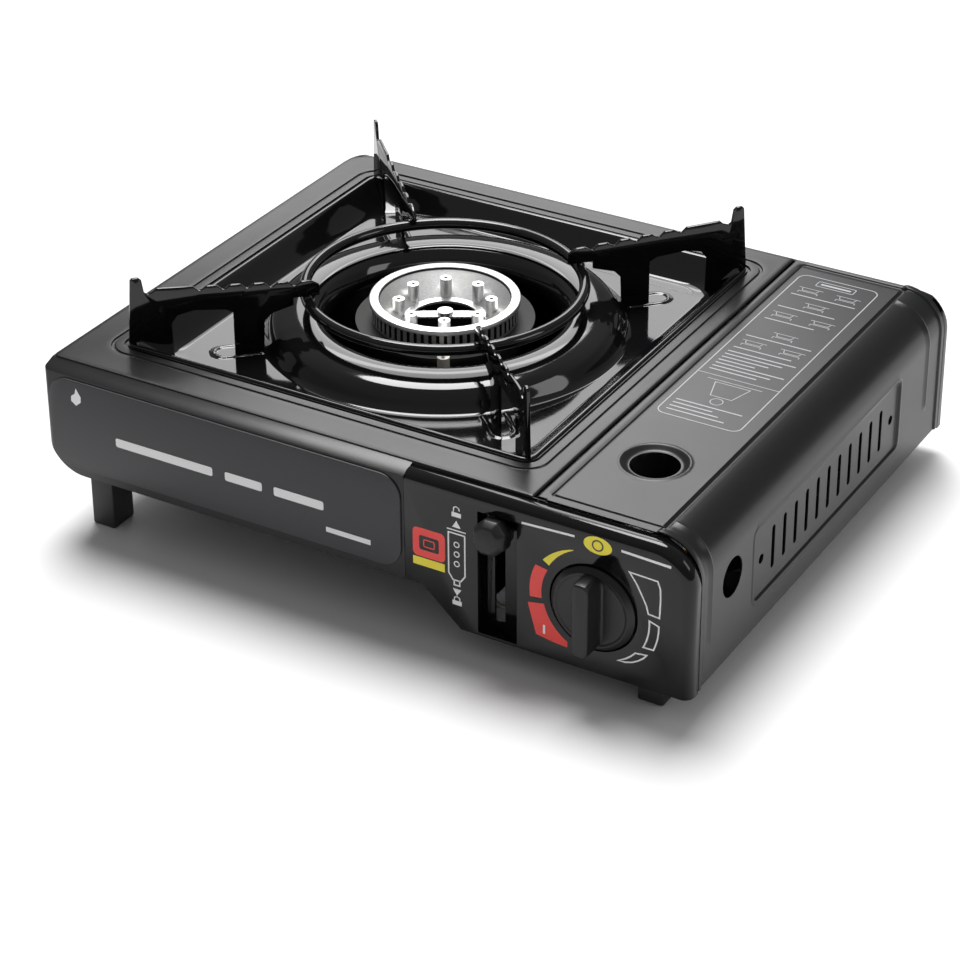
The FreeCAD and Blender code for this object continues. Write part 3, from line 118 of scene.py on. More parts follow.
# %% [markdown]
# ## A finish
# Every finish is one Principled shader. Its plain numbers are set on the shader itself, and only what
# varies is linked: a noise in the roughness, a grain in the bump. Each finish could be wired by hand,
# but one method that adds any node from its type, settings and sockets keeps them short and alike.

# %% A finish and its nodes
RAMP_STOPS = (0.3, 0.7)


class Finish:
    """A material with one Principled shader, made from plain values and then given variation."""

    def __init__(self, name, colour, roughness, metallic=0.0):
        self.material = bpy.data.materials.new(name)
        self.material.use_nodes = True
        self.tree = self.material.node_tree
        self.shader = self.tree.nodes["Principled BSDF"]
        self.shader.inputs["Base Color"].default_value = (*colour, 1.0)
        self.shader.inputs["Roughness"].default_value = roughness
        self.shader.inputs["Metallic"].default_value = metallic
        self.place = self.node("TexCoord", {}, {}, "Object")

    def node(self, kind, settings, sockets, output=0):
        """Any node, from its type, its settings and the values or links of its sockets."""
        made = self.tree.nodes.new("ShaderNode" + kind)
        for key, value in settings.items():
            if key == "stops":
                for stop, (position, colour) in zip(made.color_ramp.elements, value):
                    stop.position = position
                    stop.color = (*colour, 1.0)
            else:
                setattr(made, key, value)
        for key, value in sockets.items():
            if isinstance(value, Value):
                self.tree.links.new(value.socket, made.inputs[key])
            else:
                made.inputs[key].default_value = value
        return Value(self.tree, made.outputs[output])

    def noise(self, scale, stretch=(1.0, 1.0, 1.0), detail=3.0):
        spread = self.node("Mapping", {}, {"Vector": self.place, "Scale": stretch})
        return self.node("TexNoise", {}, {"Vector": spread, "Scale": scale, "Detail": detail}, "Fac")

    def drive(self, label, value):
        self.tree.links.new(value.socket, self.shader.inputs[label])

    def grain(self, height, strength, depth):
        """A bump of that depth in millimetres."""
        self.drive("Normal", self.node("Bump", {}, {
            "Height": height, "Strength": strength, "Distance": depth * MM}, "Normal"))

    def tint(self, mask, dark, light):
        """The colour goes from dark to light as the mask rises."""
        stops = list(zip(RAMP_STOPS, (dark, light)))
        self.drive("Base Color", self.node("ValToRGB", {"stops": stops}, {"Fac": mask}))


print("a tint goes from dark to light between", RAMP_STOPS)

# %% [markdown]
# ## Painted and enamelled steel
# The housing and the lid are powder coated: nearly black, satin, with a very fine orange peel. The
# tray is vitreous enamel, which is glass, so it is almost a mirror. Both could share one finish with a
# different roughness, but the peel on the paint is what makes the lid look dry beside the tray. So a
# coating is one function, and each finish says how rough it is and how fine and deep its peel.

# %% Coatings on steel
CLOUD_SCALE, PEEL_STRENGTH = 28.0, 0.35
finishes = {}


def coated(name, colour, roughness, spread, peel=0.0, depth=0.0, shine=0.5):
    """A coating whose roughness wanders a little, with an orange peel of that scale and depth."""
    finish = Finish(name, colour, roughness)
    finish.shader.inputs["Specular IOR Level"].default_value = shine
    cloud = finish.noise(CLOUD_SCALE)
    finish.drive("Roughness", roughness - spread / 2 + cloud * spread)
    if peel:
        finish.grain(finish.noise(peel, detail=2.0), PEEL_STRENGTH, depth)
    return finish.material


def add_finishes(make, *rows):
    """One finish from each row of values. A row starts with the finish's name."""
    for row in rows:
        finishes[row[0]] = make(*row)
    print("added:", ", ".join(row[0] for row in rows))


add_finishes(
    coated,
    ("satin_black_steel", (0.008, 0.0083, 0.0088), 0.30, 0.08, 1500.0, 0.05, 0.36),
    ("gloss_black_enamel", (0.004, 0.004, 0.0045), 0.07, 0.03, 60.0, 0.10),
    ("label_grey", (0.042, 0.043, 0.046), 0.42, 0.06, 2200.0, 0.02, 0.3),
    ("gloss_black_panel", (0.004, 0.004, 0.0045), 0.10, 0.05, 240.0, 0.02, 0.34))

# %% [markdown]
# ## Plastic, ceramic and burnt castings
# The knobs and feet are moulded plastic with a faint texture, the spark electrode sits in glazed
# ceramic, and the burner's cast base has a dark skin from the heat. They are not paint, but to the
# eye they are the same kind of surface, a dull body under a weak gloss, so the same function does.

# %% Plastic, ceramic and cast skin
add_finishes(
    coated,
    ("black_plastic", (0.011, 0.011, 0.0115), 0.40, 0.06, 1800.0, 0.03, 0.36),
    ("foot_plastic", (0.022, 0.022, 0.023), 0.55, 0.08, 1600.0, 0.04),
    ("white_ceramic", (0.62, 0.59, 0.53), 0.30, 0.05),
    ("igniter_plastic", (0.05, 0.05, 0.055), 0.38, 0.06),
    ("lead_jacket", (0.50, 0.48, 0.45), 0.45, 0.06),
    ("dark_cast", (0.018, 0.017, 0.016), 0.60, 0.16, 420.0, 0.15, 0.3))

# %% [markdown]
# ## Bare metal
# The burner's bright rings are turned and brushed aluminium, the brackets are galvanised sheet and the
# gas fittings are brass. One metal could serve with other colours, but a metal is told as much by the
# scratches in its roughness, so each gets its own grain: streaks for turned metal, broad spangles for
# zinc, a soft cloud for castings.

# %% Metals
GRAIN_STRENGTH, GRAIN_DEPTH, GRAIN_DARK = 0.25, 0.04, 0.8


def metal(name, colour, roughness, spread, scale, stretch=(1.0, 1.0, 1.0)):
    """A bare metal with a grain of that scale in its colour, its roughness and its surface."""
    finish = Finish(name, colour, roughness, metallic=1.0)
    grain = finish.noise(scale, stretch)
    finish.drive("Roughness", roughness - spread / 2 + grain * spread)
    finish.tint(grain, tuple(part * GRAIN_DARK for part in colour), colour)
    finish.grain(grain, GRAIN_STRENGTH, GRAIN_DEPTH)
    return finish.material


add_finishes(
    metal,
    ("bright_aluminium", (0.86, 0.86, 0.85), 0.40, 0.14, 700.0, (1, 1, 6)),
    ("galvanised_steel", (0.62, 0.64, 0.66), 0.38, 0.22, 110.0),
    ("bright_steel", (0.72, 0.72, 0.73), 0.28, 0.14, 900.0),
    ("zinc_casting", (0.42, 0.42, 0.44), 0.46, 0.14, 300.0),
    ("brass", (0.80, 0.58, 0.26), 0.30, 0.14, 500.0))

# %% [markdown]
# ## Printed colours
# The marks on the panel and on the lid are screen printed: a thin flat ink. They could be a texture,
# but a thin shape stays sharp at any distance and exports as it is, so each mark is cut from flat
# sheet, and an ink is a coating without any peel.

# %% Inks
inks = {name: coated("ink_" + name, colour, roughness, 0.05) for name, colour, roughness in (
    ("white", (0.80, 0.80, 0.80), 0.40), ("grey", (0.42, 0.43, 0.44), 0.45),
    ("yellow", (0.85, 0.72, 0.03), 0.35), ("red", (0.83, 0.045, 0.035), 0.35),
    ("black", (0.015, 0.015, 0.015), 0.40))}
print("inks:", sorted(inks))

# %% [markdown]
# ## Finish every CAD part
# Each CAD part arrives with a plain material that is named after its finish. The parts could be
# dressed one by one as they are worked on, but swapping every slot at once leaves the shapes alone,
# and whatever isn't replaced below is then already dressed, inside and out.

# %% Swap the plain materials
slot_of = {}
for name, part in nodes.items():
    slot_of[name] = part.data.materials[0].name
    part.data.materials[0] = finishes[slot_of[name]]
print("dressed parts:", len(slot_of), "with finishes:", len(set(slot_of.values())))

# %% [markdown]
# ## From numbers to a piece
# Most pieces below are skins over a grid of points, and a few take a modifier. Blender's operators
# could do that on a selection, but they depend on what is selected, so small functions work on the
# mesh itself: make an object, turn its faces outward, bevel or cut it, and bake its modifiers in.

# %% Helpers that make pieces
def placed(name, data):
    """An object in the scene that shows that mesh, light or camera."""
    made = bpy.data.objects.new(name, data)
    bpy.context.scene.collection.objects.link(made)
    return made


def new_piece(name, points, faces):
    """A mesh object from points in millimetres."""
    mesh = bpy.data.meshes.new(name)
    mesh.from_pydata([Vector(point) * MM for point in points], [], faces)
    return placed(name, mesh)


def outward(piece, capped=False):
    """Turn every face outward, after open ends are filled if the piece is to be capped."""
    shape = bmesh.new()
    shape.from_mesh(piece.data)
    if capped:
        bmesh.ops.holes_fill(shape, edges=[edge for edge in shape.edges if edge.is_boundary])
    bmesh.ops.recalc_face_normals(shape, faces=shape.faces)
    shape.to_mesh(piece.data)
    shape.free()
    return piece


print("lengths are given in millimetres, and a millimetre is", MM, "of Blender's units")

# %% Helpers that shape pieces
def settle(piece):
    """Bake the modifiers into the mesh."""
    bpy.context.view_layer.update()
    ready = piece.evaluated_get(bpy.context.evaluated_depsgraph_get())
    mesh = bpy.data.meshes.new_from_object(ready)
    piece.modifiers.clear()
    piece.data = mesh
    return piece


def bevelled(piece, width, segments, angle):
    """Round the edges that are sharper than the angle, in millimetres and degrees."""
    bevel = piece.modifiers.new("edge", "BEVEL")
    bevel.width = width * MM
    bevel.segments = segments
    bevel.limit_method = "ANGLE"
    bevel.angle_limit = math.radians(angle)
    return settle(piece)


def thickened(piece, thickness):
    """Give a skin the thickness of its sheet metal, towards the inside."""
    sheet = piece.modifiers.new("sheet", "SOLIDIFY")
    sheet.thickness = thickness * MM
    sheet.offset = -1.0
    return settle(piece)


def joined(piece, others, operation):
    """Cut the others out of the piece, or weld them to it, and remove them."""
    for other in others:
        change = piece.modifiers.new("join", "BOOLEAN")
        change.operation = operation
        change.solver = "EXACT"
        change.object = other
    settle(piece)
    for other in others:
        bpy.data.objects.remove(other)
    return piece


print("a piece can be bevelled, thickened, cut or welded")

# %% [markdown]
# ## Tying a piece to the stove
# On the real stove each part moves with the lid, the knob, the lever or the housing. A piece could be
# parented to them by hand, but the frame has a call for it, which also knows the CAD part that the
# piece stands for. Smooth shading with sharp edges kept at an angle gives soft bends and crisp corners.

# %% Helpers that dress pieces
SMOOTH = 32.0


def dress(piece, body, finish, smooth=SMOOTH):
    """Give the piece its finish and shading, and let it move with that body."""
    mesh = piece.data
    mesh.materials.clear()
    mesh.materials.append(finish)
    mesh.polygons.foreach_set("material_index", [0] * len(mesh.polygons))
    mesh.shade_smooth()
    mesh.set_sharp_from_angle(angle=math.radians(smooth))
    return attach(piece, body)


def stand_for(piece, node, smooth=SMOOTH):
    """Let the piece stand for a CAD node, with that node's body and finish."""
    dress(piece, nodes[node]["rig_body"], finishes[slot_of[node]], smooth)
    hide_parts(node)
    print(piece.name, "stands for", node, "with", len(piece.data.polygons), "faces")
    return piece


# %% [markdown]
# ## Rounded edges on CAD parts
# No real edge is perfectly sharp: even cut sheet has a small radius that catches a line of light. The
# shader could fake it with a rounded normal, but that is lost in an exported mesh. The CAD mesh itself
# must stay as it is, so each part below gets a copy whose edges are bevelled.

# %% Bevelled copies
SAME_POINT, FLAT = 0.002, 0.8
BEVEL_ANGLE = 38.0


def edged(node, width):
    """A copy of a CAD node with its sharp edges rounded, in millimetres."""
    shape = bmesh.new()
    shape.from_mesh(nodes[node].data)
    bmesh.ops.remove_doubles(shape, verts=shape.verts, dist=SAME_POINT * MM)
    bmesh.ops.dissolve_limit(shape, angle_limit=math.radians(FLAT), verts=shape.verts,
                             edges=shape.edges)
    mesh = bpy.data.meshes.new(node + "_edged")
    shape.to_mesh(mesh)
    shape.free()
    if "custom_normal" in mesh.attributes:
        mesh.attributes.remove(mesh.attributes["custom_normal"])
    piece = placed(node + "_edged", mesh)
    return stand_for(bevelled(piece, width, 2, BEVEL_ANGLE), node)


feet = ("foot_front_left", "foot_rear_left", "foot_front_right", "foot_rear_right")
edge_widths = {"body_shell": 0.45, "label_plate": 1.1, "control_panel": 0.5,
               **dict.fromkeys(feet, 1.2), "burner_crossbar": 0.2, "lever_arm": 0.3,
               **{f"trivet_arm_{arm}": 0.35 for arm in range(1, 5)}, "partition": 0.2,
               "pusher_plate": 0.25, "regulator_body": 0.8, "igniter_body": 0.6}
for node, width in edge_widths.items():
    edged(node, width)

# %% [markdown]
# ## Places taken from the frame
# The pieces must sit where the CAD parts are. Their places could be typed again, but then they would
# be wrong after the first change of size, so the main ones are read from the frame: the cooktop's
# height, the burner's axis, the tray's half side.

# %% Read the places
def place_of(node):
    """The low and high corners of a CAD node, in millimetres."""
    low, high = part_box(node)
    return low / MM, high / MM


deck_low, deck_high = place_of("top_plate")
tray_low, tray_high = place_of("drip_tray")
DECK = deck_high.z
BURNER = (tray_low + tray_high) / 2
TRAY_HALF = (tray_high.x - tray_low.x) / 2
FRONT = place_of("body_shell")[0].y
print("deck", round(DECK, 2), "burner", [round(part, 1) for part in BURNER],
      "tray", round(TRAY_HALF, 1))

# %% [markdown]
# ## Outlines seen from the burner
# The cooktop's opening and the tray are squares with rounded corners, stacked at many heights. Each
# could be a rectangle with a bevel, but then their points wouldn't match. One function that gives the
# distance to such an outline at any angle lets every ring use the same angles, so that they join up.

# %% Outlines
QUARTER = math.pi / 2


def reach(angle, left, right, front, back, corner):
    """Distance from the centre to the outline of a rectangle with rounded corners, at an angle."""
    across, along = math.cos(angle), math.sin(angle)
    wide = right if across > 0 else left
    deep = back if along > 0 else front
    to_side = wide / max(abs(across), 1e-9)
    to_end = deep / max(abs(along), 1e-9)
    distance = min(to_side, to_end)
    near_x, near_y = wide - corner, deep - corner
    if abs(across) * distance > near_x and abs(along) * distance > near_y:
        middle = near_x * abs(across) + near_y * abs(along)
        rest = middle * middle - near_x ** 2 - near_y ** 2 + corner ** 2
        distance = middle + math.sqrt(max(rest, 0.0))
    return distance


def square_reach(angle, half, corner):
    return reach(angle, half, half, half, half, corner)


print("corner of a 10 mm square with a 2 mm radius:", round(square_reach(math.pi / 4, 5, 2), 3))

# %% [markdown]
# ## Angles around the burner
# A rounded corner needs many points and a straight side needs few. Equal steps would waste points on
# the sides or leave the corners angular, so the steps are small near the diagonals and wide between.

# %% Angles and points
def corner_angles(extra, spread, plain):
    """Angles around a square: close together near the diagonals, wider apart between them."""
    angles = []
    for quarter in range(4):
        middle = math.pi / 4 + quarter * QUARTER
        for step in range(-extra, extra):
            angles.append(middle + spread * step / extra)
        gap = QUARTER - 2 * spread
        for step in range(plain):
            angles.append(middle + spread + gap * step / plain)
    return angles


def turns(count, offset=0.0):
    """Angles of equal steps around a circle."""
    return [2 * math.pi * (step + offset) / count for step in range(count)]


def around(distance, angle, height):
    """A point at that distance from the burner's axis."""
    return (BURNER.x + distance * math.cos(angle), BURNER.y + distance * math.sin(angle), height)


print("a point on the burner's right edge:", [round(part, 1) for part in around(37, 0, DECK)])

# %% [markdown]
# ## Joining rings of points
# A sheet with an opening, a bowl, a turned knob and a bent wire are all stacks of closed rings. If
# each ring has the same number of points, then neighbours join by four-sided faces, and the shape is
# told by its rings alone, without any cutting or merging.

# %% Join rings
def joined_rings(name, rings, closed=False, capped=False):
    """A skin over rings that have the same number of points, joined in order."""
    count = len(rings[0])
    points = [point for ring in rings for point in ring]
    faces = []
    for row in range(len(rings) if closed else len(rings) - 1):
        low, high = row * count, (row + 1) % len(rings) * count
        for step in range(count):
            after = (step + 1) % count
            faces.append((low + step, low + after, high + after, high + step))
    return outward(new_piece(name, points, faces), capped)


print("a closed stack joins its last ring to its first, and a capped one fills both")

# %% [markdown]
# ## The cooktop sheet
# The cooktop is one pressing with a square opening for the tray. A shallow groove runs around the
# opening to stiffen it, and the outer edge rolls down over the housing. The groove could be cut or
# added as a bead, but as rings it stays one sheet: the rings go from the opening out to the edge, and
# the last one closes back to the first underneath.

# %% Rings around the opening
angles = corner_angles(34, 0.16, 40)
SHEET = 0.8
opening_rings = [[around(square_reach(a, half, corner), a, DECK + height) for a in angles]
                 for half, height, corner in (
                     (108, -SHEET, 6), (108, -0.2, 6), (108.3, 0, 6), (111.7, 0, 7),
                     (111.9, -1.0, 7), (113.0, -1.0, 8), (113.3, 0.1, 8), (114.2, 0.12, 9),
                     (117.0, 0, 11), (117.5, -0.75, 11.5), (118.0, -0.9, 12), (118.5, -0.75, 12),
                     (119.0, 0.05, 12.5), (120.0, 0.1, 13), (122.0, 0, 14))]
print("rings around the opening:", len(opening_rings), "of", len(angles), "points")

# %% Rings around the edge
SEAM_COVER = 0.8
REAR_CORNER, FRONT_CORNER, LID_CORNER = 13.0, 3.0, 0.5


def edge_ring(inset, height):
    """A ring around the cooktop's outer edge, drawn in from it."""
    left = BURNER.x - deck_low.x - inset
    right = deck_high.x + SEAM_COVER - BURNER.x - inset
    front = BURNER.y - deck_low.y - inset
    back = deck_high.y - BURNER.y - inset
    ring = []
    for a in angles:
        corner = LID_CORNER
        if math.cos(a) < 0:
            corner = (REAR_CORNER if math.sin(a) > 0 else FRONT_CORNER) - min(inset, 2.0)
        ring.append(around(reach(a, left, right, front, back, corner), a, DECK + height))
    return ring


edge_rings = [edge_ring(inset, height) for inset, height in (
    (3.0, 0.0), (1.2, -0.02), (0.6, -0.12), (0.25, -0.32), (0.05, -0.6), (0.05, -SHEET))]
stand_for(joined_rings("cooktop_sheet", opening_rings + edge_rings, closed=True), "top_plate")

# %% [markdown]
# ## The drip tray
# The tray hangs in the opening by a rolled rim. Its walls slope to a floor, and a round swell rises
# around the burner. Sculpting could make the blend from square to round, but not evenly, so the same
# rings do it: square ones turn into circles step by step across the floor.

# %% Pads under the legs
PAD_MIDDLE, PAD_HALF, PAD_WIDE = 100.0, 14.5, 5.5
PAD_LINE, PAD_RISE = 1.3, 0.75
FLOOR = -10.7


def pad_rise(distance, angle):
    """Height of the pressed outline around the pads under the pan support's legs."""
    off = (angle - math.pi / 4) % QUARTER
    off = min(off, QUARTER - off)
    along = abs(distance * math.cos(off) - PAD_MIDDLE)
    beside = distance * math.sin(off)
    beyond = max(along - (PAD_HALF - PAD_WIDE), 0.0)
    line = abs(math.hypot(beyond, beside) - PAD_WIDE)
    return PAD_RISE * max(0.0, 1 - (line / PAD_LINE) ** 2)


tray_angles = corner_angles(40, 0.22, 44)


def tray_ring(half, corner, height, roundness=0.0, radius=0.0):
    """One ring of the tray: a rounded square that turns into a circle as roundness goes to 1."""
    ring = []
    for a in tray_angles:
        distance = square_reach(a, half, corner) * (1 - roundness) + radius * roundness
        rise = pad_rise(distance, a) if height <= FLOOR else 0.0
        ring.append(around(distance, a, DECK + height + rise))
    return ring


print("a pad rises", pad_rise(PAD_MIDDLE + PAD_HALF, math.pi / 4), "mm at its tip")

# %% [markdown]
# ## A smooth section
# The swell's section is one flowing curve, because sheet steel that is drawn over a punch has no
# corners. Many points could be typed, but a few that a curve passes through say the same and are
# easy to move.

# %% Smooth path
def smooth_path(knots, steps):
    """Points along a smooth curve through the knots."""
    path = []
    for index in range(len(knots) - 1):
        ends = [knots[max(index - 1, 0)], knots[index], knots[index + 1],
                knots[min(index + 2, len(knots) - 1)]]
        for step in range(steps):
            t = step / steps
            weights = (-t + 2 * t ** 2 - t ** 3, 2 - 5 * t ** 2 + 3 * t ** 3,
                       t + 4 * t ** 2 - 3 * t ** 3, -t ** 2 + t ** 3)
            path.append(tuple(sum(w * end[axis] for w, end in zip(weights, ends)) / 2
                              for axis in range(len(knots[0]))))
    path.append(knots[-1])
    return path


SWELL, SWELL_FOOT = 91.5, -11.2
swell = smooth_path([(SWELL, FLOOR), (89.8, -10.2), (88, -8.4), (86, -5.2), (83.6, -2.3),
                     (80, -0.6), (75, 0.5), (69.5, 0.95), (65, 0.7), (61.4, -1.0), (58.8, -4.6),
                     (57.4, -8.2), (57.1, SWELL_FOOT)], 3)
print("points on the swell:", len(swell))

# %% [markdown]
# ## The tray as rings
# The rim rolls over the cooktop's edge, then the wall goes down to the floor. From there each ring is
# a little rounder, and the last ones follow the swell. The skin has no thickness of its own, so a
# Solidify modifier adds the sheet: drawing an inner skin by hand would only repeat the outer one.

# %% Drip tray
WALL_FOOT, FOOT_CORNER, FLOOR_STEPS = 15.2, 19, 40
tray_rings = [tray_ring(TRAY_HALF - inset, corner, height) for inset, height, corner in (
    (0.0, 0.05, 6), (0.0, 0.45, 6), (0.3, 0.85, 6), (0.9, 1.0, 6), (1.6, 0.95, 6), (2.4, 0.55, 6),
    (3.2, -0.1, 6), (4.2, -1.2, 7), (6.0, -3.2, 9), (8.5, -6.0, 12), (11, -8.6, 15),
    (12.5, -9.9, 17), (13.8, -10.5, 18), (WALL_FOOT, FLOOR, FOOT_CORNER))]
for step in range(1, FLOOR_STEPS):
    tray_rings.append(tray_ring(TRAY_HALF - WALL_FOOT, FOOT_CORNER, FLOOR, step / FLOOR_STEPS, SWELL))
for radius, height in swell:
    tray_rings.append(tray_ring(SWELL, 1, max(height, SWELL_FOOT) + 0.001, 1.0, radius))
tray = thickened(joined_rings("drip_tray_pressing", tray_rings), 0.5)
stand_for(tray, "drip_tray", 40.0)
print("lowest point of the tray:", round(min(v.co.z for v in tray.data.vertices) / MM, 2))

# %% [markdown]
# ## The lid over the cartridge
# The lid is one sheet: flat on top, bent round the shoulder, straight down the side. Its pressed
# lines could be cut into the bent shape, but they are easiest to draw before it is bent. So a grid is
# laid out flat, each point gets a height from the pressings, and the grid is wrapped around the bend.

# %% The lid laid out flat
lid_low, lid_high = place_of("bay_lid")
LID_FRONT, LID_REAR = lid_low.y, lid_high.y
HOOP_RISE, HOOP_END = 0.8, 3.2
SIDE_X = lid_high.x - HOOP_RISE
BEND = 20.0
CURL_X, CURL_Z, CURL = 91.9, 85.9, 2.1
TOP_RUN = SIDE_X - BEND - CURL_X
BEND_RUN = BEND * QUARTER
SIDE_RUN = DECK - BEND - lid_low.z
SIDE_START = TOP_RUN + BEND_RUN


def step_edge(value, low, high):
    """0 below low, 1 above high, smooth between."""
    t = min(max((value - low) / (high - low), 0.0), 1.0)
    return t * t * (3 - 2 * t)


def frame_distance(x, y, left, right, front, back, corner):
    """Distance inside (negative) or outside the outline of a rounded rectangle."""
    middle_x, middle_y = (left + right) / 2, (front + back) / 2
    out_x = abs(x - middle_x) - ((right - left) / 2 - corner)
    out_y = abs(y - middle_y) - ((back - front) / 2 - corner)
    return math.hypot(max(out_x, 0), max(out_y, 0)) + min(max(out_x, out_y), 0) - corner


def groove(distance, half):
    """1 on the middle of a line, falling to 0 at half its width."""
    return max(0.0, 1 - (distance / half) ** 2)


print("flat sheet runs:", round(TOP_RUN, 1), round(BEND_RUN, 1), round(SIDE_RUN, 1))

# %% [markdown]
# ## What is pressed into the lid
# A line runs round the top, deeper along the shoulder. The finger hole sits in a round dish with a
# small lip. A hoop at each end closes over the housing, a rib runs down beside each, and the vents lie
# in a shallow panel on the side. Each could be a displacement texture, but a function is exact and
# needs no image. The heights are small numbers in millimetres, up or down from the plain sheet.

# %% Places and depths of the pressings
TOP_LINE, LINE_DEPTH, LINE_HALF = (96.0, 150.8, -119.6, 138.0), 0.8, 0.85
SHOULDER_X, SHOULDER_DEPTH, SHOULDER_HALF = 149.0, 1.2, 1.6
FINGER_X, FINGER_Y, FINGER = 121.6, -72.6, 11.5
DISH_DEPTH, DISH_START, DISH_END, LIP_RISE, LIP_HALF = 1.7, 0.6, 4.3, 0.3, 0.9
RIB_FRONT, RIB_REAR, RIB_RISE, RIB_HALF, RIB_FOOT = -113.6, 124.0, 0.7, 1.6, 32
VENT_PANEL, PANEL_DEPTH, EDGE_RISE, EDGE_HALF = (-71.5, 91.5, 27.0, 66.5), 1.0, 0.35, 1.3
print("pressed lines run", LINE_DEPTH, "mm deep, the dish", DISH_DEPTH, "mm")

# %% Heights on the top
def top_height(x, y):
    """The line round the top and the dish of the finger hole."""
    inside = frame_distance(x, y, *TOP_LINE, 1.5)
    shoulder = step_edge(x, SHOULDER_X, SHOULDER_X + 0.4)
    ring = math.hypot(x - FINGER_X, y - FINGER_Y) - FINGER
    height = -LINE_DEPTH * groove(inside, LINE_HALF) * (1 - shoulder)
    height -= SHOULDER_DEPTH * groove(inside, SHOULDER_HALF) * shoulder
    height -= DISH_DEPTH * (1 - step_edge(ring, DISH_START, DISH_END))
    return height + LIP_RISE * groove(ring - DISH_END - 0.1, LIP_HALF)


print("depth at the finger hole's edge:", round(top_height(FINGER_X - FINGER, FINGER_Y), 2))

# %% Heights on the side
def rib_height(run, y, z):
    """The two ribs that fade in below the shoulder and end above the edge."""
    fade = step_edge(z, RIB_FOOT, RIB_FOOT + 3) * step_edge(run, TOP_RUN, TOP_RUN + 3)
    return RIB_RISE * (groove(y - RIB_FRONT, RIB_HALF) + groove(y - RIB_REAR, RIB_HALF)) * fade


def hoop_height(run, y):
    """The hoops at both ends, which start at the shoulder."""
    end = min(y - LID_FRONT, LID_REAR - y)
    past_end = step_edge(end, HOOP_END - 0.4, HOOP_END + 0.4)
    return HOOP_RISE * (1 - past_end) * step_edge(run, TOP_RUN - 2, TOP_RUN)


def panel_height(y, z):
    """The shallow panel around the vents, with its raised edge."""
    inside = frame_distance(y, z, *VENT_PANEL, 5.0)
    floor_share = 1 - step_edge(inside, -2.2, -0.6)
    return EDGE_RISE * groove(inside + 0.2, EDGE_HALF) - PANEL_DEPTH * floor_share


print("depth of the vent panel:", -panel_height(0, (VENT_PANEL[2] + VENT_PANEL[3]) / 2))

# %% Height anywhere on the sheet
def lid_height(run, y):
    """Height of the pressings over the plain sheet, at a run along the flat sheet and a Y."""
    z = DECK - BEND - (run - SIDE_START)
    height = hoop_height(run, y)
    if run < TOP_RUN + 4:
        height += top_height(CURL_X + run, y)
    if run > TOP_RUN - 1 and z > RIB_FOOT - 2:
        height += rib_height(run, y, z)
    if run > SIDE_START - 3:
        height += panel_height(y, z)
    return min(height, HOOP_RISE)


print("height of the front hoop:", lid_height(SIDE_START, LID_FRONT))

# %% [markdown]
# ## Where the grid is fine
# A pressed line is one to three millimetres wide and needs three or four rows to look round, but the
# plain sheet between the lines needs hardly any. A fine grid everywhere would be heavy, so the rows
# are about two millimetres apart, and closer together only where something is pressed.

# %% Rows of the grid
def stations(low, high, step, busy):
    """Places from low to high, a step apart, and closer together in the busy spans."""
    places, here = [], low
    while here < high - 1e-6:
        places.append(here)
        here += min([fine for first, last, fine in busy if first - 0.3 <= here < last] + [step])
    places.append(high)
    return places


PLAIN_ROW, PLAIN_COLUMN, LINE_STEP, DISH_STEP = 1.7, 2.0, 0.28, 0.6
DISH = FINGER + 6.0


def near(place, before, after, step=LINE_STEP):
    """A busy span that starts before a place and ends after it."""
    return (place - before, place + after, step)


left, right, front, rear = TOP_LINE
panel_front, panel_rear, panel_low, panel_high = VENT_PANEL
runs = stations(0.0, SIDE_START + SIDE_RUN, PLAIN_ROW, [
    near(left - CURL_X, 0.9, 1.1), near(TOP_RUN, 3.2, 3.2),
    near(FINGER_X - CURL_X, DISH, DISH, DISH_STEP),
    near(SIDE_START + DECK - BEND - panel_high, 1.7, 1.9),
    near(SIDE_START + DECK - BEND - panel_low, 2.4, 2.0)])
backs = stations(LID_FRONT, LID_REAR, PLAIN_COLUMN, [
    near(LID_FRONT + HOOP_END, 0.6, 0.6), near(front, 0.9, 1.5), near(RIB_FRONT, 1.8, 1.8),
    near(FINGER_Y, DISH, DISH, DISH_STEP), near(panel_front, 1.7, 2.7),
    near(panel_front, -2.7, 6.5, DISH_STEP), near(panel_rear, 6.5, -2.9, DISH_STEP),
    near(panel_rear, 2.9, 1.7), near(RIB_REAR, 1.8, 1.8), near(rear, 1.2, 0.9),
    near(LID_REAR - HOOP_END, 0.6, 0.6)])
print("rows along the bend:", len(runs), "columns front to back:", len(backs))

# %% [markdown]
# ## Bending the sheet
# On the real lid the edge at the hinge is curled around a wire, and the rest is bent over a die. A
# Simple Deform modifier can bend a sheet, but not curl one edge the other way and stand the pressings
# square to the bend. So a formula places each point: first a few rows around the hinge wire, then
# flat, round the shoulder and down the side.

# %% Lid sheet
CURL_STEPS, CURL_START, CURL_TURN, CURL_INSET = 9, 215, 125, 0.4
sheet_points = []
for step in range(CURL_STEPS):
    turn = math.radians(CURL_START - CURL_TURN * step / CURL_STEPS)
    x, z = CURL_X + CURL * math.cos(turn), CURL_Z + CURL * math.sin(turn)
    for y in backs:
        sheet_points.append((x, min(max(y, LID_FRONT + CURL_INSET), LID_REAR - CURL_INSET), z))
for run in runs:
    turn = min(max((run - TOP_RUN) / BEND, 0.0), QUARTER)
    x = CURL_X + min(run, TOP_RUN) + BEND * math.sin(turn)
    z = DECK - BEND + BEND * math.cos(turn) - max(run - SIDE_START, 0.0)
    for y in backs:
        high = lid_height(run, y)
        sheet_points.append((x + high * math.sin(turn), y, z + high * math.cos(turn)))
wide = len(backs)
sheet_faces = [(first, first + wide, first + wide + 1, first + 1)
               for row in range(len(sheet_points) // wide - 1)
               for first in range(row * wide, row * wide + wide - 1)]
lid = thickened(new_piece("lid_sheet", sheet_points, sheet_faces), 0.7)
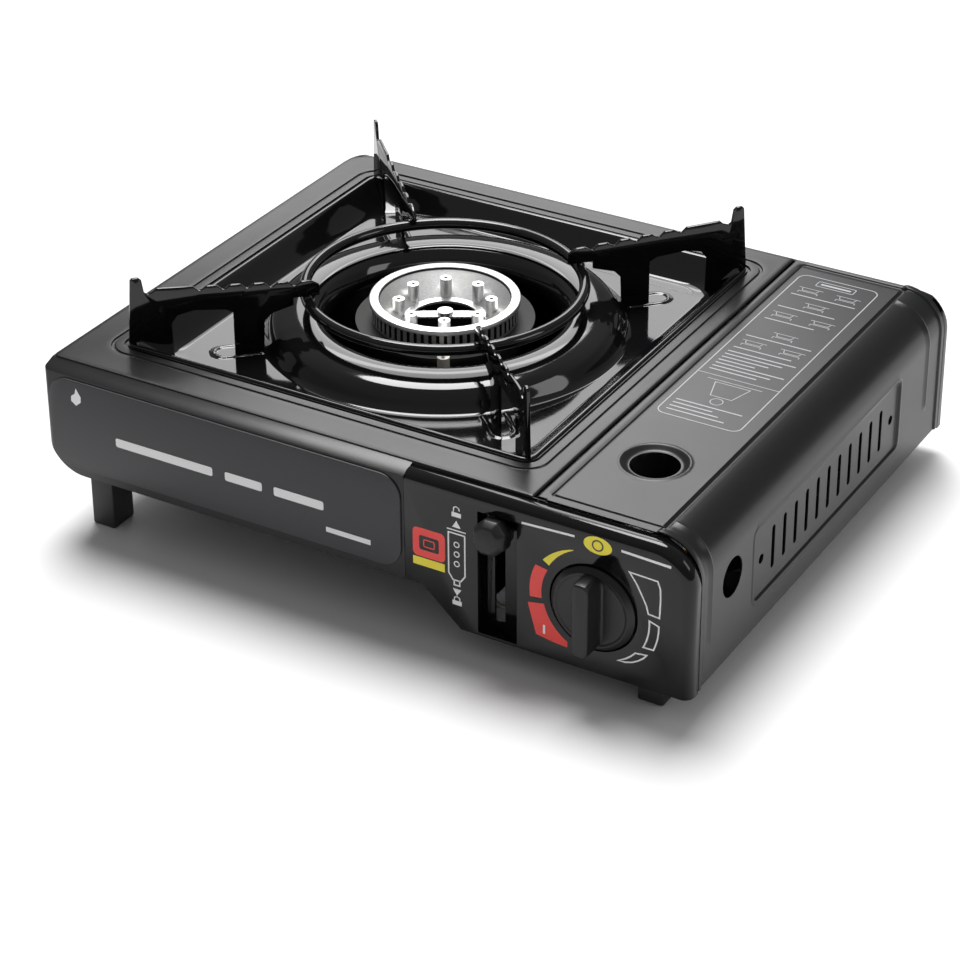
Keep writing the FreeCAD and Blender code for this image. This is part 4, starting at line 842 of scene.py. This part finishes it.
print("lid faces before the cuts:", len(lid.data.polygons))

# %% [markdown]
# ## Holes in the lid
# The finger hole, the peep hole beside the regulator, the eleven vent slots and the two rivet holes
# go right through. The grid could leave them out, but its steps would show at the edges. A cut with a
# prism after the sheet is bent gives each hole its true outline.

# %% Outlines of the holes
def prism(outline, direction, low, high):
    """A prism over an outline in the plane square to x or z, from low to high."""
    count = len(outline)
    points = [(level, a, b) if direction == "x" else (a, b, level)
              for level in (low, high) for a, b in outline]
    faces = [tuple(range(count))[::-1], tuple(range(count, 2 * count))]
    faces += [(i, (i + 1) % count, count + (i + 1) % count, count + i) for i in range(count)]
    return outward(new_piece(direction + "_cutter", points, faces))


def round_outline(x, y, radius, count=48):
    return [(x + radius * math.cos(turn), y + radius * math.sin(turn)) for turn in turns(count)]


def slot_outline(x, y, half_wide, half_tall, steps=8):
    """An upright slot with round ends."""
    outline = []
    for end, start in ((1, 0.0), (-1, math.pi)):
        for step in range(steps + 1):
            turn = start + math.pi * step / steps
            outline.append((x + half_wide * math.cos(turn),
                            y + end * (half_tall - half_wide) + half_wide * math.sin(turn)))
    return outline


print("points around a slot:", len(slot_outline(0, 0, 1, 5)))

# %% Cut the holes
VENT_FIRST, VENT_PITCH, VENT_COUNT, VENT_Z = -49.0, 11.9, 11, 46.5
VENT_HALF, VENT_TALL, RIVET, RIVET_GAP = 1.7, 11.2, 2.4, 12.3
PEEP_Y, PEEP_Z, PEEP = -92.7, 54.8, 9.6
side_holes = [round_outline(PEEP_Y, PEEP_Z, PEEP, 60)]
for index in range(VENT_COUNT):
    side_holes.append(slot_outline(VENT_FIRST + VENT_PITCH * index, VENT_Z, VENT_HALF, VENT_TALL))
for y in (VENT_FIRST - RIVET_GAP, VENT_FIRST + VENT_PITCH * (VENT_COUNT - 1) + RIVET_GAP):
    side_holes.append(round_outline(y, VENT_Z, RIVET, 24))
cutters = [prism(round_outline(FINGER_X, FINGER_Y, FINGER, 72), "z", DECK - 12, DECK + 6)]
cutters += [prism(outline, "x", SIDE_X - 8, SIDE_X + 8) for outline in side_holes]
for low, high in ((LID_FRONT - 2, LID_FRONT + 0.9), (LID_REAR - 0.9, LID_REAR + 2)):
    corner = [(CURL_X - 6, low), (96.0, low), (96.0, high), (CURL_X - 6, high)]
    cutters.append(prism(corner, "z", DECK - 8, DECK + 6))
print("cuts:", len(cutters))
stand_for(joined(lid, cutters, "DIFFERENCE"), "bay_lid", 34.0)

# %% [markdown]
# ## The control knob
# A round disc with a chamfer carries a tall grip that runs across it, almost from edge to edge. The
# grip grows out of the disc with a small fillet, narrows towards its top and has a bevel around the
# top face. Bevels on a plain block could give one of these but not all three, so rings of the same
# outline at rising heights draw the grip, and a union welds it to the disc.

# %% Rings around the knob's axis
knob_low, knob_high = place_of("control_knob")
KNOB_X = (knob_low.x + knob_high.x) / 2
KNOB_Z = (knob_low.z + knob_high.z) / 2
KNOB_R = (knob_high.x - knob_low.x) / 2
DISC_FACE = FRONT - 2.6
GRIP_TOP = knob_low.y


def knob_ring(half_wide, half_tall, corner, y):
    """A rounded rectangle around the knob's axis at one Y."""
    ring = []
    for a in turns(72, 0.5):
        distance = reach(a, half_wide, half_wide, half_tall, half_tall, corner)
        ring.append((KNOB_X + distance * math.cos(a), y, KNOB_Z + distance * math.sin(a)))
    return ring


print("knob radius", round(KNOB_R, 1), "grip height", round(DISC_FACE - GRIP_TOP, 1))

# %% Control knob
disc_rings = [knob_ring(r, r, r - 0.01, y) for r, y in (
    (KNOB_R - 0.4, knob_high.y), (KNOB_R, knob_high.y - 0.4), (KNOB_R, FRONT - 0.4),
    (KNOB_R - 0.3, FRONT - 0.8), (KNOB_R - 1.9, DISC_FACE + 0.3), (KNOB_R - 2.3, DISC_FACE),
    (KNOB_R - 3.4, DISC_FACE + 0.1), (KNOB_R - 3.8, DISC_FACE + 0.35))]
grip_rings = [knob_ring(*row) for row in (
    (6.2, 18.0, 5.2, DISC_FACE + 1.2), (6.0, 18.0, 5.0, DISC_FACE + 0.3),
    (5.2, 18.2, 4.4, DISC_FACE - 0.3), (4.8, 18.4, 4.0, DISC_FACE - 1.4),
    (4.5, 18.5, 3.4, DISC_FACE - 4.0), (4.25, 18.5, 3.0, DISC_FACE - 7.0),
    (4.05, 18.4, 2.6, GRIP_TOP + 1.4), (3.9, 18.2, 2.4, GRIP_TOP + 0.6),
    (3.4, 17.7, 2.0, GRIP_TOP + 0.1), (3.1, 17.4, 1.8, GRIP_TOP))]
knob = joined_rings("control_knob_turned", disc_rings, capped=True)
grip = joined_rings("knob_grip", grip_rings, capped=True)
stand_for(joined(knob, [grip], "UNION"), "control_knob", 30.0)

# %% [markdown]
# ## The lock lever's knob
# The small knob on the lever is an eight-sided cap that widens towards the thumb, and it leans with
# the lever. A cylinder with eight sides could be scaled at its ends, but rings of eight points along
# the leaning axis say directly how wide it is where, and a bevel softens their edges.

# %% Lever knob
cap_low, cap_high = place_of("lever_knob")
CAP_R = (cap_high.x - cap_low.x) / 2
LEAN = math.radians(9.9)
cap_axis = Vector((0, -math.cos(LEAN), math.sin(LEAN)))
cap_across, cap_up = Vector((1, 0, 0)), Vector((0, math.sin(LEAN), math.cos(LEAN)))
cap_middle = (cap_low + cap_high) / 2
cap_rings = [[tuple(cap_middle + cap_axis * along
                    + radius * (cap_across * math.cos(a) + cap_up * math.sin(a)))
              for a in turns(8, 0.5)]
             for along, radius in ((-6.0, 6.4), (-2.4, 6.8), (0.6, CAP_R + 0.4),
                                   (6.4, CAP_R + 0.4), (9.6, 6.0))]
cap = joined_rings("lock_lever_knob", cap_rings, capped=True)
stand_for(bevelled(cap, 0.7, 3, 20), "lever_knob", 24.0)

# %% [markdown]
# ## The flame crown
# The gas burns in a row of narrow slots under the crown's bright rim. A boolean could cut them, but a
# ring whose radius steps in and out gives all slots at once: the same number of points in every ring,
# and only the rings between the rim and the foot take the step. The slots' faces get the dark cast
# finish as a second material: painted shade deep in the narrow slots, along with the dark skin that
# the flame leaves.

# %% Rings of the crown
crown_low, crown_high = place_of("burner_crown")
CROWN = (crown_high.x - crown_low.x) / 2
CROWN_BORE, CROWN_WALL = 32.2, CROWN - 1.2
FLAMES, SLOT_SHARE, SLOT_DEPTH = 60, 0.42, 3.2
FOOT_Z, RIM_Z = crown_low.z, crown_high.z


def crown_ring(outer, height, depth=0.0):
    """A ring that steps in by that depth at every slot."""
    ring = []
    for flame in range(FLAMES):
        for share in (0.0, 0.02, SLOT_SHARE, SLOT_SHARE + 0.02, 0.7, 0.85):
            inward = depth if 0.01 < share <= SLOT_SHARE else 0.0
            ring.append(around(outer - inward, 2 * math.pi * (flame + share) / FLAMES, height))
    return ring


crown_rings = [crown_ring(*row) for row in (
    (CROWN_BORE, FOOT_Z), (CROWN_WALL, FOOT_Z), (CROWN_WALL, FOOT_Z + 1.2),
    (CROWN_WALL, FOOT_Z + 1.25, SLOT_DEPTH), (CROWN_WALL, RIM_Z - 3.2, SLOT_DEPTH),
    (CROWN_WALL, RIM_Z - 3.1), (CROWN - 0.2, RIM_Z - 2.6), (CROWN, RIM_Z - 2.3),
    (CROWN, RIM_Z - 0.5), (CROWN - 0.15, RIM_Z - 0.15), (CROWN - 0.5, RIM_Z),
    (CROWN_BORE + 0.4, RIM_Z), (CROWN_BORE, RIM_Z - 0.3))]
print("points in a crown ring:", len(crown_rings[0]))

# %% Flame crown
crown = stand_for(joined_rings("flame_crown", crown_rings, closed=True), "burner_crown", 28.0)
# Faces deep in the slots take the dark cast finish: painted shade in the slots, with the flame's dark
# skin.
crown.data.materials.append(finishes["dark_cast"])
for face in crown.data.polygons:
    middle = face.center / MM
    distance = math.hypot(middle.x - BURNER.x, middle.y - BURNER.y)
    if distance < CROWN_WALL - 1.2 and middle.z < RIM_Z - 2.9:
        face.material_index = 1
print("dark faces:", sum(face.material_index for face in crown.data.polygons))

# %% [markdown]
# ## The wire ring
# The ring that ties the four arms is a round wire, bent to a circle. A curve with a bevel would do,
# but a closed stack of small circles swept round the burner's axis is already at hand and gives an
# even mesh.

# %% Wire ring
ring_low, ring_high = place_of("trivet_ring")
WIRE = (ring_high.z - ring_low.z) / 2
WIRE_Z = (ring_high.z + ring_low.z) / 2
RING = (ring_high.x - ring_low.x) / 2 - WIRE
wire_rings = [[around(RING + WIRE * math.cos(a), turn, WIRE_Z + WIRE * math.sin(a))
               for a in turns(20)] for turn in turns(160)]
stand_for(joined_rings("support_ring", wire_rings, closed=True), "trivet_ring")

# %% [markdown]
# ## Weld beads
# Each arm is held to the ring by two small welds. A smooth ball would look like a bearing, and a
# Displace modifier would need a texture, so each bead is a ball of triangles whose points are pushed
# in and out by a slow wave and which is then pressed flat.

# %% Weld beads
BEAD, BEAD_APART, BEAD_LIFT, BEAD_FLAT, WOBBLE = 1.7, 1.5, 2.2, 0.75, 0.12
WAVE_X, WAVE_Y = 4100, 3700
shape = bmesh.new()
for quarter in range(4):
    turn = math.pi / 4 + quarter * QUARTER
    for side in (-1, 1):
        shift = Vector((-math.sin(turn), math.cos(turn), 0)) * side * BEAD_APART
        spot = Vector(around(RING + 0.6, turn, WIRE_Z + BEAD_LIFT)) + shift
        bead = bmesh.ops.create_icosphere(shape, subdivisions=3, radius=BEAD * MM)
        for vertex in bead["verts"]:
            wave = math.sin(vertex.co.x * WAVE_X + spot.x) * math.cos(vertex.co.y * WAVE_Y)
            vertex.co = vertex.co * (1 + WOBBLE * wave)
            vertex.co.z *= BEAD_FLAT
            vertex.co += spot * MM
mesh = bpy.data.meshes.new("weld_beads")
shape.to_mesh(mesh)
shape.free()
beads = dress(placed("weld_beads", mesh), "pan_support", finishes[slot_of["trivet_ring"]])
print("faces of the beads:", len(mesh.polygons))

# %% [markdown]
# ## Lines with a width
# Most marks are printed lines. A line could be a curve with a bevel, but that is round like a wire,
# and print is flat. So a line is the strip between its two sides, and at a bend the sides move apart
# a little, to keep the width.

# %% The two sides of a line
SHARPEST = 0.45


def sides(path, width, closed):
    """The two sides of a line of that width along a path."""
    inner, outer, count = [], [], len(path)
    for i, here in enumerate(path):
        before = path[i - 1] if closed or i else here
        after = path[(i + 1) % count] if closed or i < count - 1 else here
        ways = [Vector((end[0] - start[0], end[1] - start[1])).normalized()
                for start, end in ((before, here), (here, after)) if end != start]
        mean = sum(ways, Vector((0, 0))).normalized()
        square = Vector((-mean.y, mean.x))
        stretch = 1 / max(abs(square.dot(Vector((-ways[0].y, ways[0].x)))), SHARPEST)
        side = square * (width / 2 * stretch)
        inner.append((here[0] + side.x, here[1] + side.y))
        outer.append((here[0] - side.x, here[1] - side.y))
    return inner, outer


print("sides of a 2 mm line:", *sides([(0, 0), (10, 0)], 2, False))

# %% [markdown]
# ## Printed marks as thin sheet
# A mark is a flat outline lifted a few hundredths of a millimetre from its surface. A decal image
# would need a file, so a small class collects outlines in the plane of the surface: filled shapes,
# bands between two paths and lines of a width. It then builds them all as closed prisms in one object.

# %% A sheet of marks
INK, INK_FOOT = 0.06, 0.01


class Marks:
    """Marks on one plane. The plane is given by an origin and the directions across and up, in mm."""

    def __init__(self, name, origin, across, up, out):
        self.name = name
        self.origin, self.across, self.up, self.out = map(Vector, (origin, across, up, out))
        self.points = []
        self.faces = []

    def lay(self, path, lift):
        """Add the points of a path, lifted off the surface."""
        self.points += [tuple(self.origin + self.across * a + self.up * b + self.out * lift)
                        for a, b in path]

    def filled(self, outline):
        """A filled shape."""
        base, count = len(self.points), len(outline)
        self.lay(outline, INK_FOOT)
        self.lay(outline, INK)
        self.faces.append(tuple(base + i for i in range(count)))
        self.faces.append(tuple(base + count + i for i in range(count))[::-1])
        for i in range(count):
            after = (i + 1) % count
            self.faces.append((base + i, base + after, base + count + after, base + count + i))

    def band(self, inner, outer, closed=True):
        """The strip between two paths that have the same number of points."""
        base, count = len(self.points), len(inner)
        for path, lift in ((inner, INK_FOOT), (outer, INK_FOOT), (outer, INK), (inner, INK)):
            self.lay(path, lift)
        for i in range(count if closed else count - 1):
            after = (i + 1) % count
            for row in range(4):
                low, high = base + row * count, base + (row + 1) % 4 * count
                self.faces.append((low + i, low + after, high + after, high + i))
        if not closed:
            for i in (0, count - 1):
                self.faces.append(tuple(base + row * count + i for row in range(4)))

    def line(self, path, width, closed=False):
        """A line of a width along a path."""
        self.band(*sides(path, width, closed), closed)

    def bar(self, left, low, right, high):
        self.filled([(left, low), (right, low), (right, high), (left, high)])

    def build(self, ink, body):
        piece = outward(new_piece(self.name, self.points, self.faces))
        print(self.name, "faces:", len(piece.data.polygons))
        return dress(piece, body, inks[ink])


# %% [markdown]
# ## Outlines for the marks
# Most printed marks are made of arcs around the knob and of boxes with rounded corners. Their points
# could be listed one by one, but two functions draw them from a radius or a corner.

# %% Arcs and boxes
def arc(radius, start, end, steps=14):
    """Points on an arc around the knob, with angles in degrees."""
    path = []
    for i in range(steps + 1):
        turn = math.radians(start + (end - start) * i / steps)
        path.append((KNOB_X + radius * math.cos(turn), KNOB_Z + radius * math.sin(turn)))
    return path


def rounded_box(left, low, right, high, corner, steps=6):
    """Outline of a rectangle with rounded corners."""
    outline = []
    for x, y, start in ((right - corner, low + corner, -90), (right - corner, high - corner, 0),
                        (left + corner, high - corner, 90), (left + corner, low + corner, 180)):
        for i in range(steps + 1):
            turn = math.radians(start + 90 * i / steps)
            outline.append((x + corner * math.cos(turn), y + corner * math.sin(turn)))
    return outline


panel_plane = ((0, FRONT, 0), (1, 0, 0), (0, 0, 1), (0, -1, 0))
over_ink = ((0, FRONT - INK, 0), *panel_plane[1:])
print("points in an arc:", len(arc(1, 0, 90)), "in a box:", len(rounded_box(0, 0, 9, 9, 1)))

# %% [markdown]
# ## Coloured marks on the control panel
# The marks around the knob show how far it is open: a yellow spot at the top where the gas is shut,
# then a yellow wedge and two red fields as it opens. They are bands between two arcs, since a ring
# sector is exactly that. The red and yellow box left of the lever holds the place of a sticker.

# %% Yellow marks
SPOT_X, SPOT_Z, SPOT_WIDE, SPOT_TALL = 125.6, 78.4, 6.9, 4.3
yellow = Marks("panel_marks_yellow", *panel_plane)
yellow.filled([(SPOT_X + SPOT_WIDE * math.cos(t), SPOT_Z + SPOT_TALL * math.sin(t))
               for t in turns(40)])
WEDGE_STEPS, WEDGE_START, WEDGE_TURN = 12, 146, 35
wedge = [[], []]
for step in range(WEDGE_STEPS + 1):
    turn = math.radians(WEDGE_START - WEDGE_TURN * step / WEDGE_STEPS)
    for path, radius in zip(wedge, (26.4 + 0.13 * step, 30.2 - 0.155 * step)):
        path.append((KNOB_X + radius * math.cos(turn), KNOB_Z + radius * math.sin(turn)))
yellow.band(*wedge, closed=False)
yellow.bar(32.5, 40.6, 49.0, 44.8)
yellow.build("yellow", "stove")

# %% Red marks
red = Marks("panel_marks_red", *panel_plane)
red.band(arc(25.7, 151.5, 187), arc(31.6, 155, 187), closed=False)
low_outer = [(-32.4, -7.2), (-31.9, -9.5), (-31.2, -12.0), (-30.5, -14.6), (-29.8, -17.0),
             (-29.0, -19.8), (-28.2, -22.6), (-26.0, -23.0), (-23.5, -23.4), (-21.0, -23.8),
             (-18.2, -24.2), (-15.4, -24.4), (-12.6, -24.6)]
red.band(arc(25.0, 193, 240, len(low_outer) - 1),
         [(KNOB_X + x, KNOB_Z + z) for x, z in low_outer], closed=False)
red.band(rounded_box(35.8, 49.0, 46.0, 56.4, 1.0), rounded_box(32.5, 45.4, 49.2, 60.2, 2.4))
red.line(rounded_box(38.2, 50.9, 43.6, 54.5, 0.6), 0.6, closed=True)
red.build("red", "stove")

# %% [markdown]
# ## White fields and lines
# On the other side of the knob three outlined fields get smaller, and two thin bars run along the
# top of the panel. A field could be a filled shape with a smaller one cut out, but as a closed line
# through a few points its width stays the same all round.

# %% White fields
white = Marks("panel_marks_white", *panel_plane)
FIELD_LINE = 0.75
white.line([(141.1, 70.1), (154.7, 69.6), (156.0, 66.0), (156.2, 61.8), (156.1, 56.6),
            (155.9, 51.4), (150.5, 51.9), (149.6, 55.6), (147.6, 59.6), (144.8, 65.0)],
           FIELD_LINE, closed=True)
white.line(arc(27.4, 5, -26, 8) + arc(31.9, -22, 1.5, 8), FIELD_LINE, closed=True)
white.line([(136.4, 23.4), (140.0, 25.4), (142.5, 27.5), (144.7, 29.9), (150.3, 30.6),
            (148.6, 28.4), (146.2, 26.4), (143.2, 24.6), (139.8, 23.6)], FIELD_LINE, closed=True)
white.band([(88.2, 79.1), (114.3, 80.3)], [(88.2, 78.0), (114.3, 79.2)], closed=False)
white.band([(137.0, 80.0), (160.8, 79.2)], [(137.0, 78.8), (160.8, 77.9)], closed=False)
print("points so far:", len(white.points))

# %% [markdown]
# ## How to lock the cartridge, in symbols
# Left of the lever's channel a plain outline of a cartridge stands between two arrows: up to release
# it and down to lock it, with an open and a shut padlock. Symbols need no language, and in strokes
# around one middle line they stay in line with each other.

# %% Cartridge symbol
BOTTLE, BODY_HALF, NECK_HALF, CAP_HALF = 55.2, 4.2, 2.0, 1.4
white.line([(BOTTLE - BODY_HALF, 62.6), (BOTTLE + BODY_HALF, 62.6), (BOTTLE + BODY_HALF, 41.6),
            (BOTTLE + NECK_HALF, 38.4), (BOTTLE - NECK_HALF, 38.4), (BOTTLE - BODY_HALF, 41.6)],
           0.7, closed=True)
white.line([(BOTTLE - CAP_HALF, 38.4), (BOTTLE - CAP_HALF, 35.8), (BOTTLE + CAP_HALF, 35.8),
            (BOTTLE + CAP_HALF, 38.4)], 0.7)
white.line([(BOTTLE - 4.9, 64.3), (BOTTLE + 4.9, 64.3)], 0.6)
for z in (47.0, 52.0, 57.0):
    white.line(round_outline(BOTTLE, z, 1.3, 16), 0.5, closed=True)
print("points so far:", len(white.points))

# %% Arrows and padlocks
ARROW_HALF, LOCK_HALF, SHACKLE_HALF = 2.2, 2.4, 1.5
for tip, foot in ((69.4, 65.8), (30.4, 33.9)):
    white.filled([(BOTTLE, tip), (BOTTLE - ARROW_HALF, foot), (BOTTLE + ARROW_HALF, foot)])
for base, gap in ((71.2, 0.9), (25.4, 0.0)):
    white.bar(BOTTLE - LOCK_HALF, base, BOTTLE + LOCK_HALF, base + 2.3)
    white.line([(BOTTLE + SHACKLE_HALF, base + 2.4 + gap * 1.2), (BOTTLE + 1.3, base + 3.9 + gap),
                (BOTTLE, base + 4.5 + gap), (BOTTLE - 1.3, base + 3.9 + gap),
                (BOTTLE - SHACKLE_HALF, base + 2.4)], 0.5)
white.build("white", "stove")

# %% [markdown]
# ## Shut and open
# A small ring on the yellow spot marks where the gas is shut, and a short stroke on the red field
# marks where it is open. They lie on the coloured ink, so their plane starts on top of it, because
# two inks in one plane would flicker.

# %% Ring and stroke
on_mark = Marks("panel_marks_on", *over_ink)
on_mark.line([(99.6, 25.0), (99.6, 29.6)], 1.1)
on_mark.build("white", "stove")
off_mark = Marks("panel_marks_black", *over_ink)
off_mark.line(round_outline(SPOT_X, SPOT_Z, 2.5, 24), 0.7, closed=True)
off_mark.build("black", "stove")

# %% [markdown]
# ## Notice on the lid
# The real lid carries a printed notice. Its words are not copied: a border, rows of plain bars and a
# few simple pictures of pans on a burner hold its place. Drawn as rows in a loop, the bars differ in
# length as lines of print do.

# %% Frame and pans
notice = Marks("lid_notice", (0, 0, DECK), (1, 0, 0), (0, 1, 0), (0, 0, 1))
LEFT_X, RIGHT_X, TEXT_X = 100.0, 142.0, 103.4
notice.line(rounded_box(LEFT_X, -31.5, RIGHT_X, 128.0, 4.5), 0.5, closed=True)
notice.line(rounded_box(111.0, 119.4, 131.0, 124.6, 0.8), 0.45, closed=True)
notice.bar(113.0, 121.3, 129.0, 122.7)


def pan_picture(x, y):
    """A pan on a burner in a few strokes."""
    for stroke in ([(-4.4, 2.0), (-3.6, -0.6), (3.6, -0.6), (4.4, 2.0)], [(-6.4, 2.4), (6.4, 2.4)],
                   [(-5.0, -3.2), (-5.0, -1.6), (5.0, -1.6), (5.0, -3.2)]):
        notice.line([(x + a, y + b) for a, b in stroke], 0.35)


for row, y in enumerate((112.5, 97.5, 82.5, 62.0, 48.5)):
    for x in ((111.0, 131.0) if row % 2 == 0 else (121.0,)):
        pan_picture(x, y)
    notice.bar(104.0, y - 6.6, 138.0 - 4 * (row % 3), y - 5.9)
print("points so far:", len(notice.points))

# %% Bars of text and the large pan
BAR_PITCH, BAR_TALL = 3.3, 0.75


def text_rows(count, top, right, shorter, skip):
    """Bars in place of lines of print, each a different amount shorter."""
    for row in range(count):
        y = top - row * BAR_PITCH
        notice.bar(TEXT_X, y, right - shorter * ((row * skip) % 4), y + BAR_TALL)


text_rows(7, 37.0, 138.6, 5.5, 5)
notice.line([(LEFT_X, 12.4), (RIGHT_X, 12.4)], 0.4)
notice.line([(112.0, 6.6), (130.0, 6.6), (126.4, -6.0), (115.6, -6.0)], 0.4, closed=True)
notice.line([(107.0, 8.6), (135.0, 8.6)], 0.4)
notice.line(round_outline(121.0, -10.5, 3.0, 20), 0.4, closed=True)
text_rows(4, -17.0, 137.0, 4.5, 3)
notice.build("grey", "lid")

# %% [markdown]
# ## Marks on the label plate
# The plate on the front carries a printed name on the real stove. Plain bars of different lengths and
# a small flame stand in for it: they keep the plate from looking empty and say nothing.

# %% Label plate
label_plane = ((0, place_of("label_plate")[0].y, 0), *panel_plane[1:])
plate_marks = Marks("label_plate_marks", *label_plane)
for left, right in ((-130.0, -75.0), (-68.0, -47.5), (-41.0, -14.0)):
    plate_marks.filled(rounded_box(left, 54.2, right, 58.8, 1.0))
plate_marks.bar(-13.0, 43.6, 10.8, 46.2)
plate_marks.filled([(-152.0, 70.0), (-149.2, 72.4), (-149.0, 75.2), (-151.6, 79.4),
                    (-152.4, 76.4), (-154.6, 74.6), (-154.8, 72.0)])
plate_marks.build("white", "stove")

# %% [markdown]
# ## The floor
# The stove stands on a plain pale sheet. A modelled table would compete with it, and no floor would
# leave it floating, so one large flat face catches its shadow.

# %% Floor
FLOOR_HALF = 4000
floor = new_piece("floor", [(-FLOOR_HALF, -FLOOR_HALF, 0), (FLOOR_HALF, -FLOOR_HALF, 0),
                            (FLOOR_HALF, FLOOR_HALF, 0), (-FLOOR_HALF, FLOOR_HALF, 0)],
                  [(0, 1, 2, 3)])
floor.data.materials.append(coated("floor_paper", (0.86, 0.86, 0.86), 0.9, 0.02))
print("floor side in metres:", 2 * FLOOR_HALF * MM)

# %% [markdown]
# ## Light from the room
# Black steel shows what it mirrors. An even grey room would flatten it, and a black one would lose
# its edges, so the room is a weak light that is darker below the horizon than above it.

# %% Room
ROOM_STRENGTH, ROOM_BELOW, ROOM_ABOVE = 0.30, (0.40, 0.62), (0.60, 0.9)
world = bpy.data.worlds.new("room")
bpy.context.scene.world = world
world.use_nodes = True
tree = world.node_tree
background = tree.nodes["Background"]
coordinates = tree.nodes.new("ShaderNodeTexCoord")
split = tree.nodes.new("ShaderNodeSeparateXYZ")
ramp = tree.nodes.new("ShaderNodeValToRGB")
for stop, (position, grey) in zip(ramp.color_ramp.elements, (ROOM_BELOW, ROOM_ABOVE)):
    stop.position = position
    stop.color = (grey, grey, grey, 1.0)
tree.links.new(coordinates.outputs["Generated"], split.inputs[0])
tree.links.new(split.outputs["Z"], ramp.inputs[0])
tree.links.new(ramp.outputs[0], background.inputs["Color"])
background.inputs["Strength"].default_value = ROOM_STRENGTH
print("room strength:", ROOM_STRENGTH)

# %% [markdown]
# ## Lamps
# Two soft boxes stand behind the stove on the left, where the tray and the swell mirror them as
# bright shapes, and a third at the right keeps the vents readable. One large box could do, but its
# mirror image would cover the tray. A wide sun from above gives the shadow on the floor its soft edge.

# %% Lamps
STOVE_MIDDLE = Vector((0, 0, 0.05))


def lamp(name, kind, power, direction, place=(0, 0, 0)):
    """A light of that kind at a place in metres, turned to shine in a direction."""
    data = bpy.data.lights.new(name, kind)
    data.energy = power
    light = placed(name, data)
    light.location = place
    light.rotation_euler = Vector(direction).to_track_quat("-Z", "Y").to_euler()
    return data


for name, place, size, power in (("light_behind", (-0.95, 1.60, 1.02), 0.75, 6.0),
                                 ("light_high", (-0.68, 1.19, 1.36), 0.72, 5.6),
                                 ("light_right", (1.5, 0.3, 0.9), 0.6, 3.5)):
    lamp(name, "AREA", power, STOVE_MIDDLE - Vector(place), place).size = size
lamp("light_above", "SUN", 3.4, (0.25, -0.35, -1.0)).angle = math.radians(30)
bpy.context.scene.view_settings.view_transform = "Standard"
print("lamps:", len(bpy.data.lights))

# %% [markdown]
# ## Camera
# The stove is seen from the front right and from above, as on a worktop. A wide lens near by would
# stretch its front corner, so a long lens stands more than a metre away. A small shift of the sensor
# places it in the frame, where turning the camera would change the perspective.

# %% Camera
LENS, SENSOR, SHIFT_X, SHIFT_Y = 109.46, 36.0, -0.0364, -0.168
AZIMUTH, ELEVATION = math.radians(29.85), math.radians(27.57)
camera_data = bpy.data.cameras.new("camera")
camera_data.lens, camera_data.sensor_width = LENS, SENSOR
camera_data.shift_x, camera_data.shift_y = SHIFT_X, SHIFT_Y
camera = placed("camera", camera_data)
bpy.context.scene.camera = camera
towards = Vector((-math.sin(AZIMUTH) * math.cos(ELEVATION),
                  math.cos(AZIMUTH) * math.cos(ELEVATION), -math.sin(ELEVATION)))
camera.location = (0.6221, -1.0692, 0.7407)
camera.rotation_euler = towards.to_track_quat("-Z", "Y").to_euler()
print("camera at", tuple(round(part, 3) for part in camera.location))
